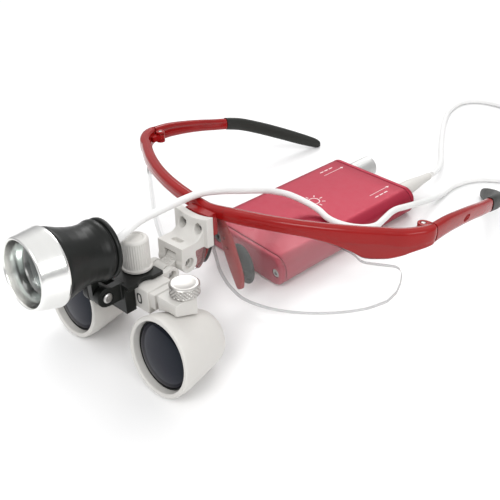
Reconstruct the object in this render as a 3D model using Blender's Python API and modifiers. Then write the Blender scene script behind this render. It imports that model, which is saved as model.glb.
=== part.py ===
"""Dental loupes: half-rim glasses, a flip-up mount with two loupe barrels, a head lamp and its battery box.

All sizes below are in millimetres; the helpers turn them into metres. The glasses have a frame of their own:
x to the wearer's left, y from the lamp back to the temple tips, z up, with the origin on top of the bridge.
The glasses stand on the loupe barrels and the temple tips, and the battery box lies on the table behind them.
"""

from math import cos, pi, radians, sin

import bpy
import bmesh
from mathutils import Matrix, Vector

MM = 0.001
GAP = 0.3  # air left between neighbouring pieces

# Stance: where the glasses and the battery box stand
FOOTPRINT_CENTRE_Y = 34.5
BRIDGE_HEIGHT = 43.77
GLASSES_PITCH = radians(4.4)
BOX_CENTRE = (0.7, 69.5)
BOX_TURN = radians(-7.8)

# Glasses front
BRIDGE_Y = 4.0
FACE_RADIUS = 92.0  # bow of the front, seen from above
BOW_END_X = 66.0  # beyond this the front bends round to the temples
BROW_DEPTH = 4.8
BOSS_HALF_WIDTH = 6.5  # block on the bridge that carries the mount
LENS_THICKNESS = 2.0
HINGE_X = 73.6
HINGE_Y = 42.8
HINGE_EYE_RADIUS = 2.2
HINGE_MID_Z = -0.6
HINGE_LEAF = 2.6  # height of each of the three hinge eyes

# Mount
PLATE_HALF_WIDTH = 9.3
PLATE_Y = (-5.6, -2.2)
MOUNT_HALF_WIDTH = 7.0
FLIP_AXIS = (-13.5, -16.8)  # y, z
TILT_AXIS = (-21.6, -19.0)
TONGUE_HALF_WIDTH = 3.0
FLIP_KNUCKLE = 4.0
TILT_KNUCKLE = 3.4
KNUCKLE_BORE = 1.5
SCREW_X = 4.4
SCREW_Z = -5.6
MOUNT_PIN_RADIUS = 1.2

# Crossbar, its clamp and the two carriages
CROSSBAR_Y = (-39.7, -28.5)
CROSSBAR_Z = (-23.6, -14.2)
CROSSBAR_HALF_WIDTH = 13.5
RAIL_Y = (-37.7, -31.2)
RAIL_Z = (-18.7, -15.5)
RAIL_HALF_LENGTH = 26.6
CLAMP_Y = -33.0
CARRIAGE_X = (18.6, 28.2)
CARRIAGE_Y = (-39.5, -29.5)
CARRIAGE_Z = (-23.0, -13.4)
THUMB_SCREW = (24.8, -32.0)
SWIVEL = (24.6, -34.5)
SEAT_GAP = 0.7  # between a barrel and the saddle that it swivels under

# Loupe barrels
BARREL_FRONT = (25.9, -47.9, -31.9)
BARREL_TILT = radians(8.3)
BARREL_RADIUS = 15.3
BARREL_LENGTH = 25.0

# Head lamp
LAMP_FRONT = (0.0, -77.1, 5.5)
LAMP_TILT = radians(6.8)
LAMP_PIVOT = (-50.5, -14.8)
LAMP_LENGTH = 31.4

# Battery box, in its own frame: x across, y along, z up from the table
BOX_LENGTH = 89.5
BOX_WIDTH = 55.4
BOX_HEIGHT = 14.0
BOX_EDGE = 6.0
BOX_WALL = 1.5
END_CAP = 3.0
CAP_SCREW_X = 23.8
SOCKET_X = -17.0
DIMMER_X = -15.0
DIMMER_RADIUS = 5.6
DIMMER_LENGTH = 15.0
OUTPUT_X = 15.8
PLUG_LENGTH = 27.0

# Cord
CORD_RADIUS = 1.5
CORD_LENGTH = 1200.0
COIL_CENTRE = (84.0, 197.0)
COIL_RADIUS = 16.5  # to the middle of the turns
COIL_SECTION = 4.6  # half the width of the bundle of turns

# The lamp's lead, from the gland back over the bridge and the battery box, to the coil
LEAD_ROUTE = [
    (0.0, -40.3, 49.2), (-0.6, -36.0, 49.6), (-2.6, -29.5, 49.6), (-4.4, -20.8, 48.7),
    (-5.2, 1.8, 46.6), (-5.0, 14.5, 43.0), (-5.6, 28.5, 36.8), (-5.8, 42.0, 30.9),
    (-5.5, 50.2, 26.8), (-2.5, 57.0, 23.0), (3.5, 61.4, 19.2), (10.4, 62.4, 16.9),
    (17.3, 60.5, 15.7), (24.0, 59.8, 15.6), (29.9, 61.8, 15.0), (34.2, 66.1, 14.0),
    (36.2, 72.0, 13.0), (35.4, 79.5, 12.4), (34.2, 90.5, 11.5), (36.0, 103.0, 9.0),
    (37.0, 128.6, 2.4), (37.2, 145.0, 1.6), (43.6, 158.8, 1.6), (57.5, 166.6, 1.6),
    (74.0, 170.8, 1.6), (89.8, 175.1, 1.6),
]
# The same cord from the coil back to the plug in the battery box
RETURN_ROUTE = [
    (98.5, 214.3, 1.6), (84.6, 225.0, 1.6), (67.0, 235.6, 1.6), (43.0, 249.8, 1.6),
    (15.0, 262.2, 1.6), (-3.5, 263.8, 1.6), (-13.6, 255.0, 1.6), (-13.6, 236.5, 1.6),
    (-5.0, 212.8, 1.6), (6.9, 188.2, 1.6), (16.2, 170.4, 2.2), (21.8, 158.4, 4.4),
    (25.6, 147.0, 6.4), (26.3, 141.0, 6.9),
]
LEAD_SPLITS = (7.0, 14.0)  # along the lead: where it crosses from body to body
CORD_STEP = 8.0

RED = (0.55, 0.02, 0.02, 1)
WHITE = (0.78, 0.78, 0.74, 1)
BLACK = (0.02, 0.02, 0.022, 1)
SILVER = (0.75, 0.75, 0.76, 1)
MATERIALS = {
    "red_gloss": (RED, 0.25, 0.0),
    "clear_lens": ((0.9, 0.93, 0.94, 1), 0.05, 0.0),
    "black_rubber": (BLACK, 0.75, 0.0),
    "white_plastic": (WHITE, 0.45, 0.0),
    "black_anodised": (BLACK, 0.35, 0.6),
    "black_plastic": (BLACK, 0.5, 0.0),
    "silver_metal": (SILVER, 0.3, 1.0),
    "steel": ((0.6, 0.6, 0.62, 1), 0.35, 1.0),
    "coated_glass": ((0.03, 0.04, 0.07, 1), 0.05, 0.0),
    "clear_glass": ((0.8, 0.85, 0.88, 1), 0.05, 0.0),
    "red_anodised": ((0.45, 0.03, 0.06, 1), 0.35, 0.6),
    "green_board": ((0.05, 0.25, 0.1, 1), 0.6, 0.0),
    "cell_wrap": ((0.1, 0.2, 0.5, 1), 0.5, 0.0),
    "white_cord": ((0.75, 0.75, 0.73, 1), 0.6, 0.0),
}


# ---------------------------------------------------------------- helpers

def clear_scene():
    for thing in list(bpy.data.objects):
        bpy.data.objects.remove(thing, do_unlink=True)


def collection(name):
    found = bpy.data.collections.new(name)
    bpy.context.scene.collection.children.link(found)
    return found


def make_material(name):
    colour, roughness, metallic = MATERIALS[name]
    made = bpy.data.materials.get(name) or bpy.data.materials.new(name)
    made.use_nodes = True
    made.diffuse_color = colour
    shader = made.node_tree.nodes["Principled BSDF"]
    shader.inputs["Base Color"].default_value = colour
    shader.inputs["Roughness"].default_value = roughness
    shader.inputs["Metallic"].default_value = metallic
    return made


def empty(name, parent, location, rotation=(0, 0, 0)):
    made = bpy.data.objects.new(name, None)
    made.empty_display_size = 0.01
    made.parent = parent
    made.location = Vector(location) * MM
    made.rotation_euler = rotation
    PARTS.objects.link(made)
    return made


def add(name, data, parent, material, location=(0, 0, 0), rotation=(0, 0, 0), sharp=40):
    """An object in the parts collection, with its own material, shaded smooth below the sharp angle."""
    made = bpy.data.objects.new(name, data)
    made.parent = parent
    made.location = Vector(location) * MM
    made.rotation_euler = rotation
    data.materials.append(make_material(material))
    PARTS.objects.link(made)
    if isinstance(data, bpy.types.Mesh) and len(data.polygons):
        data.shade_smooth()
        data.set_sharp_from_angle(angle=radians(sharp))
    return made


def tool(thing):
    """Turn a piece into a cutter or a joining shape for a Boolean."""
    PARTS.objects.unlink(thing)
    TOOLS.objects.link(thing)
    thing.hide_render = True
    thing.display_type = "WIRE"
    return thing


def combine(target, others, operation):
    for other in others:
        boolean = target.modifiers.new(other.name, "BOOLEAN")
        boolean.operation = operation
        boolean.solver = "EXACT"
        boolean.object = tool(other)
    return target


def cut(target, *cutters):
    return combine(target, cutters, "DIFFERENCE")


def join(target, *pieces):
    return combine(target, pieces, "UNION")


def bevel(thing, width, segments=2, angle=40):
    made = thing.modifiers.new("edges", "BEVEL")
    made.width = width * MM
    made.segments = segments
    made.limit_method = "ANGLE"
    made.angle_limit = radians(angle)
    made.harden_normals = False
    return thing


def box(name, parent, x, y, z, material="steel", rounding=0.0, rotation=(0, 0, 0)):
    """A block between two x, two y and two z values."""
    size = Vector((x[1] - x[0], y[1] - y[0], z[1] - z[0])) * MM
    shape = bmesh.new()
    bmesh.ops.create_cube(shape, size=1.0)
    bmesh.ops.scale(shape, vec=size, verts=shape.verts)
    data = bpy.data.meshes.new(name)
    shape.to_mesh(data)
    shape.free()
    centre = ((x[0] + x[1]) / 2, (y[0] + y[1]) / 2, (z[0] + z[1]) / 2)
    made = add(name, data, parent, material, centre, rotation)
    if rounding:
        bevel(made, rounding)
    return made


TURNS = {"X": (0, pi / 2, 0), "Y": (-pi / 2, 0, 0), "Z": (0, 0, 0)}


def cylinder(name, parent, centre, radius, length, axis="Z", material="steel", sides=20, top=None):
    """A cylinder, or a cone when its top radius is given, about one axis of its parent."""
    shape = bmesh.new()
    bmesh.ops.create_cone(
        shape, cap_ends=True, segments=sides, radius1=radius * MM,
        radius2=(radius if top is None else top) * MM, depth=length * MM,
    )
    data = bpy.data.meshes.new(name)
    shape.to_mesh(data)
    shape.free()
    return add(name, data, parent, material, centre, TURNS[axis])


def turned(name, parent, profile, material, location=(0, 0, 0), rotation=(0, 0, 0), steps=28, closed=False):
    """A turned piece about its own z. The profile is (radius, z), down the outer side; closed makes a ring."""
    data = bpy.data.meshes.new(name)
    edges = [(i, i + 1) for i in range(len(profile) - 1)]
    if closed:
        edges.append((len(profile) - 1, 0))
    data.from_pydata([(r * MM, 0, z * MM) for r, z in profile], edges, [])
    made = add(name, data, parent, material, location, rotation)
    screw = made.modifiers.new("turn", "SCREW")
    screw.axis = "Z"
    screw.angle = 2 * pi
    screw.steps = steps
    screw.render_steps = steps
    screw.use_merge_vertices = True
    screw.merge_threshold = 0.00001
    screw.use_smooth_shade = True
    return made


def loft(name, parent, rings, material, location=(0, 0, 0)):
    """A solid skin through rings of points with the same count, closed by a face at each end."""
    count = len(rings[0])
    points = [Vector(p) * MM for ring in rings for p in ring]
    faces = []
    for step in range(len(rings) - 1):
        for i in range(count):
            a = step * count + i
            b = step * count + (i + 1) % count
            faces.append((a, b, b + count, a + count))
    faces.append(tuple(reversed(range(count))))
    faces.append(tuple(range(len(points) - count, len(points))))
    data = bpy.data.meshes.new(name)
    data.from_pydata(points, [], faces)
    shape = bmesh.new()
    shape.from_mesh(data)
    bmesh.ops.recalc_face_normals(shape, faces=shape.faces)
    shape.to_mesh(data)
    shape.free()
    return add(name, data, parent, material, location)


def section(centre, across, up, width, height, corners=3.0, count=10):
    """A ring with rounded corners: a superellipse in the plane of two directions."""
    ring = []
    for i in range(count):
        angle = 2 * pi * (i + 0.5) / count
        c = cos(angle)
        s = sin(angle)
        u = width / 2 * abs(c) ** (2 / corners) * (1 if c > 0 else -1)
        v = height / 2 * abs(s) ** (2 / corners) * (1 if s > 0 else -1)
        ring.append(Vector(centre) + Vector(across) * u + Vector(up) * v)
    return ring


def spline(points, at):
    """Read a smooth Catmull-Rom curve through rows of numbers at a place from 0 to the last row."""
    last = len(points) - 1
    i = min(int(at), last - 1)
    t = at - i
    p0 = Vector(points[max(i - 1, 0)])
    p1 = Vector(points[i])
    p2 = Vector(points[i + 1])
    p3 = Vector(points[min(i + 2, last)])
    return 0.5 * (
        2 * p1 + (p2 - p0) * t + (2 * p0 - 5 * p1 + 4 * p2 - p3) * t ** 2
        + (3 * p1 - p0 - 3 * p2 + p3) * t ** 3
    )


def swept(name, parent, stations, material, per_span=3, location=(0, 0, 0)):
    """A bar through stations of x, y, middle z, width and height, its sections square to its path in plan."""
    rows = [((s[0], s[1], s[2]), (s[3], s[4], 0)) for s in stations]
    paths = [row[0] for row in rows]
    sizes = [row[1] for row in rows]
    steps = (len(stations) - 1) * per_span
    rings = []
    for step in range(steps + 1):
        at = step / per_span
        centre = spline(paths, at)
        ahead = spline(paths, min(at + 0.05, len(rows) - 1)) - spline(paths, max(at - 0.05, 0))
        ahead.z = 0
        ahead.normalize()
        size = spline(sizes, at)
        across = Vector((-ahead.y, ahead.x, 0))
        rings.append(section(centre, across, Vector((0, 0, 1)), size.x, size.y))
    return loft(name, parent, rings, material, location)


def rounded_rectangle(width, height, radius, arc=6):
    """Corner points of a rectangle with round corners, anticlockwise."""
    points = []
    for quarter in range(4):
        cx = (width / 2 - radius) * (1 if quarter in (0, 3) else -1)
        cy = (height / 2 - radius) * (1 if quarter in (0, 1) else -1)
        for i in range(arc + 1):
            angle = pi / 2 * (quarter + i / arc)
            points.append((cx + radius * cos(angle), cy + radius * sin(angle)))
    return points


def extruded(name, parent, outlines, depth, material, location, rotation=(0, 0, 0)):
    """A flat outline, or an outline with a hole, given its thickness along its own z."""
    curve = bpy.data.curves.new(name, "CURVE")
    curve.dimensions = "2D"
    curve.fill_mode = "BOTH"
    curve.extrude = depth / 2 * MM
    for outline in outlines:
        path = curve.splines.new("POLY")
        path.points.add(len(outline) - 1)
        for point, (x, y) in zip(path.points, outline):
            point.co = (x * MM, y * MM, 0, 1)
        path.use_cyclic_u = True
    return add(name, curve, parent, material, location, rotation)


def as_mesh(thing):
    """Replace a curve object by a welded mesh, so that it can be cut."""
    bpy.context.view_layer.update()
    graph = bpy.context.evaluated_depsgraph_get()
    data = bpy.data.meshes.new_from_object(thing.evaluated_get(graph))
    shape = bmesh.new()
    shape.from_mesh(data)
    bmesh.ops.remove_doubles(shape, verts=shape.verts, dist=0.00001)
    bmesh.ops.recalc_face_normals(shape, faces=shape.faces)
    shape.to_mesh(data)
    shape.free()
    name = thing.name
    parent = thing.parent
    placed = thing.matrix_local.copy()
    bpy.data.objects.remove(thing)
    made = bpy.data.objects.new(name, data)
    made.parent = parent
    made.matrix_local = placed
    PARTS.objects.link(made)
    return made


def tube(name, parent, points, radius, material):
    curve = bpy.data.curves.new(name, "CURVE")
    curve.dimensions = "3D"
    curve.bevel_depth = radius * MM
    curve.bevel_resolution = 2
    curve.use_fill_caps = True
    path = curve.splines.new("POLY")
    path.points.add(len(points) - 1)
    for point, place in zip(path.points, points):
        point.co = (*(Vector(place) * MM), 1)
    return add(name, curve, parent, material)


def place_under(parent, point):
    """Where a point of the glasses frame lies under an empty that is only shifted from it."""
    shift = Vector((0, 0, 0))
    while parent is not None and parent is not GLASSES:
        shift += parent.location / MM
        parent = parent.parent
    return tuple(Vector(point) - shift)


def spans_under(parent, x, y, z):
    """The same for a block's three pairs of limits."""
    low = place_under(parent, (x[0], y[0], z[0]))
    high = place_under(parent, (x[1], y[1], z[1]))
    return zip(low, high)


def block(name, parent, x, y, z, material="steel", rounding=0.0):
    """A box given by limits in the glasses frame, whatever empty it hangs under."""
    return box(name, parent, *spans_under(parent, sorted(x), sorted(y), sorted(z)), material, rounding)


def rod(name, parent, centre, radius, length, axis="Z", material="steel", sides=20):
    """A cylinder given by its centre in the glasses frame."""
    return cylinder(name, parent, place_under(parent, centre), radius, length, axis, material, sides)


# ---------------------------------------------------------------- glasses

def bow(x):
    """How far back the glasses front lies at a distance x from the nose."""
    return BRIDGE_Y + x * x / (2 * FACE_RADIUS)


BROW_EDGES = [  # distance from the nose, bottom and top of the bar
    (0, -4.0, 0.2), (6, -3.9, 0.8), (14, -3.5, 1.8), (25, -2.9, 2.4), (35, -2.6, 2.6), (44, -3.0, 2.5),
    (52, -4.8, 2.3), (57, -7.6, 2.1), (61, -10.3, 2.0), (68, -10.0, 2.2), (73, -7.8, 2.8),
    (76, -5.4, 3.2), (79, -4.4, 3.4),
]


def brow_limits(x):
    """Bottom and top height of the brow bar at a distance x from the nose."""
    for before, after in zip(BROW_EDGES, BROW_EDGES[1:]):
        if x <= after[0]:
            t = (x - before[0]) / (after[0] - before[0])
            t = t * t * (3 - 2 * t)
            return tuple(a + (b - a) * t for a, b in zip(before[1:], after[1:]))
    return BROW_EDGES[-1][1:]


def make_front():
    half = [(x, bow(x), BROW_DEPTH) for x in (0, 6, 14, 22, 30, 38, 46, 52, 56, 60, BOW_END_X)]
    half += [(70.6, 30.4, 4.8), (74.0, 33.6, 4.8), (76.4, 37.0, 4.8), (77.8, 40.2, 4.4), (78.1, 41.9, 3.4)]
    path = [(-x, y, depth) for x, y, depth in reversed(half[1:])] + half
    rings = []
    for i, (x, y, depth) in enumerate(path):
        before = path[max(i - 1, 0)]
        after = path[min(i + 1, len(path) - 1)]
        along = Vector((after[0] - before[0], after[1] - before[1], 0)).normalized()
        bottom, top = brow_limits(abs(x))
        centre = (x, y, (bottom + top) / 2)
        rings.append(section(centre, (-along.y, along.x, 0), (0, 0, 1), depth, top - bottom, 2.8, 12))
    front = loft("front_frame", GLASSES, rings, "red_gloss")
    boss = block("boss", GLASSES, (-BOSS_HALF_WIDTH, BOSS_HALF_WIDTH), (PLATE_Y[1] + GAP, BRIDGE_Y - 1.4),
                 (-10.5, -1.0))
    join(front, boss)
    for side in (1, -1):
        cut(front, rod("thread_bore", GLASSES, (side * SCREW_X, -0.2, SCREW_Z), 1.1, 5, "Y", sides=16))
    leaf = (HINGE_MID_Z - HINGE_LEAF / 2, HINGE_MID_Z + HINGE_LEAF / 2)
    for side in (1, -1):
        eye = rod("eye", GLASSES, (side * HINGE_X, HINGE_Y, HINGE_MID_Z), HINGE_EYE_RADIUS, HINGE_LEAF,
                  sides=16)
        neck = block("neck", GLASSES, (side * (HINGE_X - 1.6), side * (HINGE_X + 1.9)),
                     (HINGE_Y - 6.0, HINGE_Y), leaf)
        join(front, neck, eye)
        cut(front, rod("pin_bore", GLASSES, (side * HINGE_X, HINGE_Y, HINGE_MID_Z), 1.2, 12, sides=16))
    return front


LENS_EDGE = [(2.4, -20.5), (5.0, -28.6), (9.2, -34.2), (16.5, -38.6), (27.7, -39.6), (37.8, -38.9),
             (47.1, -37.4), (55.6, -35.4), (63.5, -32.6), (70.6, -27.6), (72.8, -21.8)]
LENS_SHOULDER = (61.0, -11.7)  # beyond this x the lens stays below this height, clear of the bar


def lens_bottom(x):
    """Height of the lens's free lower edge at a distance x from the nose."""
    for (x0, z0), (x1, z1) in zip(LENS_EDGE, LENS_EDGE[1:]):
        if x <= x1:
            return z0 + (z1 - z0) * (x - x0) / (x1 - x0)
    return LENS_EDGE[-1][1]


def make_lens(side, label):
    columns = 22
    rows = 2
    first = LENS_EDGE[0][0]
    last = LENS_EDGE[-1][0]
    points = []
    for i in range(columns + 1):
        x = first + (last - first) * i / columns
        top = LENS_SHOULDER[1] if x > LENS_SHOULDER[0] else brow_limits(x)[0] - GAP
        bottom = lens_bottom(x)
        for j in range(rows + 1):
            points.append(Vector((side * x, bow(x), bottom + (top - bottom) * j / rows)) * MM)
    faces = []
    for i in range(columns):
        for j in range(rows):
            a = i * (rows + 1) + j
            quad = (a, a + rows + 1, a + rows + 2, a + 1)
            faces.append(quad if side > 0 else tuple(reversed(quad)))
    data = bpy.data.meshes.new("lens_" + label)
    data.from_pydata(points, [], faces)
    made = add("lens_" + label, data, GLASSES, "clear_lens")
    shell = made.modifiers.new("thickness", "SOLIDIFY")
    shell.thickness = LENS_THICKNESS * MM
    shell.offset = 0
    return made


def make_nose():
    leg = [(13.2, 8.2, -36.0, 2.6, 3.4), (11.8, 8.3, -31.0, 2.8, 5.2), (9.0, 8.3, -24.0, 3.0, 6.0),
           (6.0, 8.3, -16.0, 3.0, 5.6), (3.0, 8.2, -9.8, 3.0, 4.6), (0.0, 8.0, -7.8, 3.0, 3.8)]
    stations = leg + [(-s[0], *s[1:]) for s in reversed(leg[:-1])]
    loft("nose_piece", GLASSES, across_path(stations), "red_gloss")
    for side, label in ((1, "left"), (-1, "right")):
        pad_rings = []
        for i in range(9):
            t = -1 + 2 * i / 8
            size = max(0.25, (1 - t * t) ** 0.5)
            centre = Vector((side * (10.6 - 3.0 * t), 12.6, -27.6 + 8.6 * t))
            pad_rings.append(section(centre, (side * 0.8, 0.6, 0), (-side * 0.6, 0.8, 0),
                                     8.6 * size, 3.6 * size, 2.2))
        loft("nose_pad_" + label, GLASSES, pad_rings, "black_rubber")


def across_path(stations):
    """Rings across a path in the x-z plane, for stations of x, y, z, depth and width."""
    rings = []
    for i, (x, y, z, depth, width) in enumerate(stations):
        before = stations[max(i - 1, 0)]
        after = stations[min(i + 1, len(stations) - 1)]
        ahead = Vector((after[0] - before[0], 0, after[2] - before[2])).normalized()
        rings.append(section((x, y, z), (0, 1, 0), ahead.cross(Vector((0, 1, 0))), depth, width, 2.4, 12))
    return rings


def make_temple(side, label):
    hinge = empty("temple_" + label + "_hinge", GLASSES, (side * HINGE_X, HINGE_Y, HINGE_MID_Z))
    arm = [(77.9, 42.6, -0.6, 4.0, 7.8), (78.2, 52.0, -0.9, 3.9, 7.4), (78.3, 63.0, -2.4, 3.8, 6.8),
           (78.2, 74.0, -4.4, 3.6, 6.4), (78.0, 84.0, -6.6, 3.6, 6.2), (77.5, 93.0, -8.4, 3.6, 6.2)]
    tip = [(77.5, 93.4, -8.4, 4.2, 6.8), (76.2, 104.5, -11.4, 4.6, 7.2), (72.2, 117.0, -16.2, 4.8, 7.4),
           (66.2, 128.6, -21.2, 4.8, 7.4), (59.8, 139.0, -25.9, 4.6, 7.0), (54.3, 147.3, -29.6, 3.8, 5.6),
           (52.6, 149.8, -30.6, 2.2, 3.0)]
    origin = Vector((side * HINGE_X, HINGE_Y, HINGE_MID_Z))

    def moved(stations):
        return [(side * x - origin.x, y - origin.y, z - origin.z, w, h) for x, y, z, w, h in stations]

    temple = swept("temple_" + label, hinge, moved(arm), "red_gloss", per_span=2)
    leaf = HINGE_LEAF
    for step in (1, -1):
        z = HINGE_MID_Z + step * (leaf + GAP)
        eye = rod("eye", hinge, (side * HINGE_X, HINGE_Y, z), HINGE_EYE_RADIUS, leaf, sides=16)
        neck = block("neck", hinge, (side * HINGE_X, side * (HINGE_X + 4.0)),
                     (HINGE_Y + 0.2, HINGE_Y + HINGE_EYE_RADIUS), (z - leaf / 2, z + leaf / 2))
        join(temple, neck, eye)
    cut(temple, rod("pin_bore", hinge, (side * HINGE_X, HINGE_Y, HINGE_MID_Z), 1.2, 14, sides=16))
    swept("temple_tip_" + label, hinge, moved(tip), "black_rubber", per_span=2)
    rod("hinge_pin_" + label, GLASSES, (side * HINGE_X, HINGE_Y, HINGE_MID_Z), 0.9, 3 * leaf + 1.4,
        "Z", "steel", 16)


# ---------------------------------------------------------------- mount

def knuckle(parent, axis, radius, inner, outer, side):
    return rod("knuckle", parent, (side * (inner + outer) / 2, *axis), radius, outer - inner, "X")


def make_bracket():
    width = (-MOUNT_HALF_WIDTH, MOUNT_HALF_WIDTH)
    bracket = block("mount_bracket", GLASSES, (-PLATE_HALF_WIDTH, PLATE_HALF_WIDTH), PLATE_Y,
                    (-12.8, -0.4), "white_plastic")
    arm = block("arm", GLASSES, width, (-17.0, -3.0), (-12.8, -9.2))
    join(bracket, arm)
    fork = TONGUE_HALF_WIDTH + GAP
    for side in (1, -1):
        lug = block("lug", GLASSES, (side * fork, side * MOUNT_HALF_WIDTH),
                    (FLIP_AXIS[0] - FLIP_KNUCKLE + 0.4, FLIP_AXIS[0] + FLIP_KNUCKLE - 0.4),
                    (FLIP_AXIS[1], -12.0))
        join(bracket, lug, knuckle(GLASSES, FLIP_AXIS, FLIP_KNUCKLE, fork, MOUNT_HALF_WIDTH, side))
    cut(bracket, rod("bore", GLASSES, (0, *FLIP_AXIS), KNUCKLE_BORE, 20, "X"),
        block("link_recess", GLASSES, (-fork, fork), (-20.0, -9.0), (-16.0, -10.8)))
    for side in (1, -1):
        x = side * SCREW_X
        cut(bracket, rod("shank_bore", GLASSES, (x, -4.0, SCREW_Z), 1.1, 10, "Y", sides=16),
            rod("head_bore", GLASSES, (x, -5.2, SCREW_Z), 2.0, 2.4, "Y", sides=16))


def make_bracket_screws():
    for side, label in ((1, "left"), (-1, "right")):
        profile = [(0, 0), (1.6, 0), (1.6, -1.0), (0.8, -1.0), (0.8, -6.0), (0, -6.0)]
        turned("bracket_screw_" + label, GLASSES, profile, "steel", (side * SCREW_X, -5.3, SCREW_Z),
               (pi / 2, 0, 0), 12)


def make_link():
    flip = empty("flip_axis", GLASSES, (0, *FLIP_AXIS))
    width = (-TONGUE_HALF_WIDTH, TONGUE_HALF_WIDTH)
    run = Vector((TILT_AXIS[0] - FLIP_AXIS[0], TILT_AXIS[1] - FLIP_AXIS[1]))
    link = rod("flip_link", flip, (0, *FLIP_AXIS), FLIP_KNUCKLE - 0.4, 2 * TONGUE_HALF_WIDTH, "X",
               "white_plastic")
    web = box("web", flip, width, (run.x, 0), (run.y / 2 - 2.0, run.y / 2 + 2.0))
    end = rod("end", flip, (0, *TILT_AXIS), TILT_KNUCKLE, 2 * TONGUE_HALF_WIDTH, "X")
    join(link, web, end)
    for axis in (FLIP_AXIS, TILT_AXIS):
        cut(link, rod("bore", flip, (0, *axis), KNUCKLE_BORE, 12, "X"))
    rod("flip_pin", GLASSES, (0, *FLIP_AXIS), MOUNT_PIN_RADIUS, 2 * MOUNT_HALF_WIDTH - 1.2, "X", "steel", 16)
    tilt = empty("tilt_axis", flip, place_under(flip, (0, *TILT_AXIS)))
    rod("tilt_pin", tilt, (0, *TILT_AXIS), MOUNT_PIN_RADIUS, 11.0, "X", "steel", 16)
    return tilt


def make_crossbar(tilt):
    half = CROSSBAR_HALF_WIDTH
    bar = block("crossbar", tilt, (-half, half), CROSSBAR_Y, CROSSBAR_Z, "white_plastic")
    rail = block("rail", tilt, (-RAIL_HALF_LENGTH, RAIL_HALF_LENGTH), RAIL_Y, RAIL_Z)
    join(bar, rail)
    fork = TONGUE_HALF_WIDTH + GAP
    outer = 6.0
    for side in (1, -1):
        lug = block("lug", tilt, (side * fork, side * outer), (CROSSBAR_Y[1] - 1, TILT_AXIS[0]),
                    (TILT_AXIS[1] - 3.0, TILT_AXIS[1] + 3.0))
        join(bar, lug, knuckle(tilt, TILT_AXIS, TILT_KNUCKLE, fork, outer, side))
    cut(bar, rod("bore", tilt, (0, *TILT_AXIS), KNUCKLE_BORE, 20, "X"),
        rod("stud_bore", tilt, (0, CLAMP_Y, -16.5), 2.2, 9))


def make_clamp(tilt):
    place = place_under(tilt, (0, CLAMP_Y, -11.9))
    axis = empty("clamp_axis", tilt, place)
    profile = [(0, 12.4), (4.5, 12.4), (5.1, 11.8), (5.2, 1.2), (5.8, 1.0), (5.8, 0), (1.8, 0), (1.8, -7.6),
               (0, -7.6)]
    turned("clamp_knob", axis, profile, "white_plastic", steps=32)


def make_lamp_clip(tilt):
    clip = block("lamp_clip", tilt, (-8.8, 8.8), (-44.4, -28.2), (-13.9, -12.2), "black_plastic")
    wall = block("wall", tilt, (-6.4, 6.4), (-44.4, -40.0), (-24.4, -12.6))
    join(clip, wall)
    for side in (1, -1):
        ends = (side * 1.6, side * 4.6)
        ear = block("ear", tilt, ends, (LAMP_PIVOT[0], -43.0), (LAMP_PIVOT[1] - 3.8, LAMP_PIVOT[1] + 3.0))
        end = rod("ear_end", tilt, (side * 3.1, *LAMP_PIVOT), 3.8, 3.0, "X")
        join(clip, ear, end)
    cut(clip, rod("bore", tilt, (0, *LAMP_PIVOT), 1.4, 14, "X"),
        rod("stud_hole", tilt, (0, CLAMP_Y, -13.0), 2.2, 4))
    rod("lamp_pivot_screw", tilt, (0.4, *LAMP_PIVOT), 1.1, 10.4, "X", "silver_metal", 16)


# ---------------------------------------------------------------- head lamp

def make_lamp(tilt):
    pivot = empty("lamp_pivot", tilt, place_under(tilt, (0, *LAMP_PIVOT)))
    nose = place_under(pivot, LAMP_FRONT)
    axis = empty("lamp_axis", pivot, nose, (pi / 2 - LAMP_TILT, 0, 0))
    bezel = [(11.6, 0), (12.3, -0.4), (13.9, -9.0), (13.6, -9.5), (9.4, -9.5), (9.4, -5.0), (9.9, -4.6),
             (11.4, -0.3)]
    turned("lamp_bezel", axis, bezel, "silver_metal", closed=True)
    lens = [(0, -4.2), (4.5, -4.7), (7.6, -5.8), (9.0, -7.0), (9.0, -8.2), (0, -8.2)]
    turned("lamp_lens", axis, lens, "clear_glass")
    body = [(13.2, -9.8), (12.9, -11.4), (11.5, -15.0), (10.4, -19.0), (10.1, -22.5), (10.4, -25.6),
            (10.9, -28.4), (9.0, -28.4), (9.0, -14.0), (11.0, -9.8)]
    housing = turned("lamp_housing", axis, body, "black_anodised", closed=True)
    tongue = block("tongue", pivot, (-1.3, 1.3), (LAMP_PIVOT[0] - 3.6, LAMP_PIVOT[0] - 0.6),
                   (LAMP_PIVOT[1], -6.6))
    end = rod("tongue_end", pivot, (0, *LAMP_PIVOT), 3.6, 2.6, "X")
    join(housing, tongue, end)
    cut(housing, rod("bore", pivot, (0, *LAMP_PIVOT), 1.4, 8, "X"))
    module = [(0, -13.0), (3.2, -13.6), (3.4, -15.0), (8.4, -15.0), (8.4, -20.0), (0, -20.0)]
    turned("led_module", axis, module, "silver_metal", steps=24)
    cap = [(0, -28.7), (10.4, -28.7), (10.4, -29.3), (11.0, -29.5), (11.0, -LAMP_LENGTH + 0.4),
           (10.6, -LAMP_LENGTH), (0, -LAMP_LENGTH)]
    turned("lamp_rear_cap", axis, cap, "black_anodised")
    start = -LAMP_LENGTH - GAP
    gland = [(0, start), (2.8, start), (2.8, start - 2.0), (2.1, start - 4.6), (0, start - 4.6)]
    turned("cable_gland", axis, gland, "black_rubber", steps=16)


# ---------------------------------------------------------------- carriages and barrels

def barrel_axis(parent, side):
    front = (side * BARREL_FRONT[0], BARREL_FRONT[1], BARREL_FRONT[2])
    return empty("axis", parent, place_under(parent, front), (pi / 2 - BARREL_TILT, 0, 0))


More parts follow.
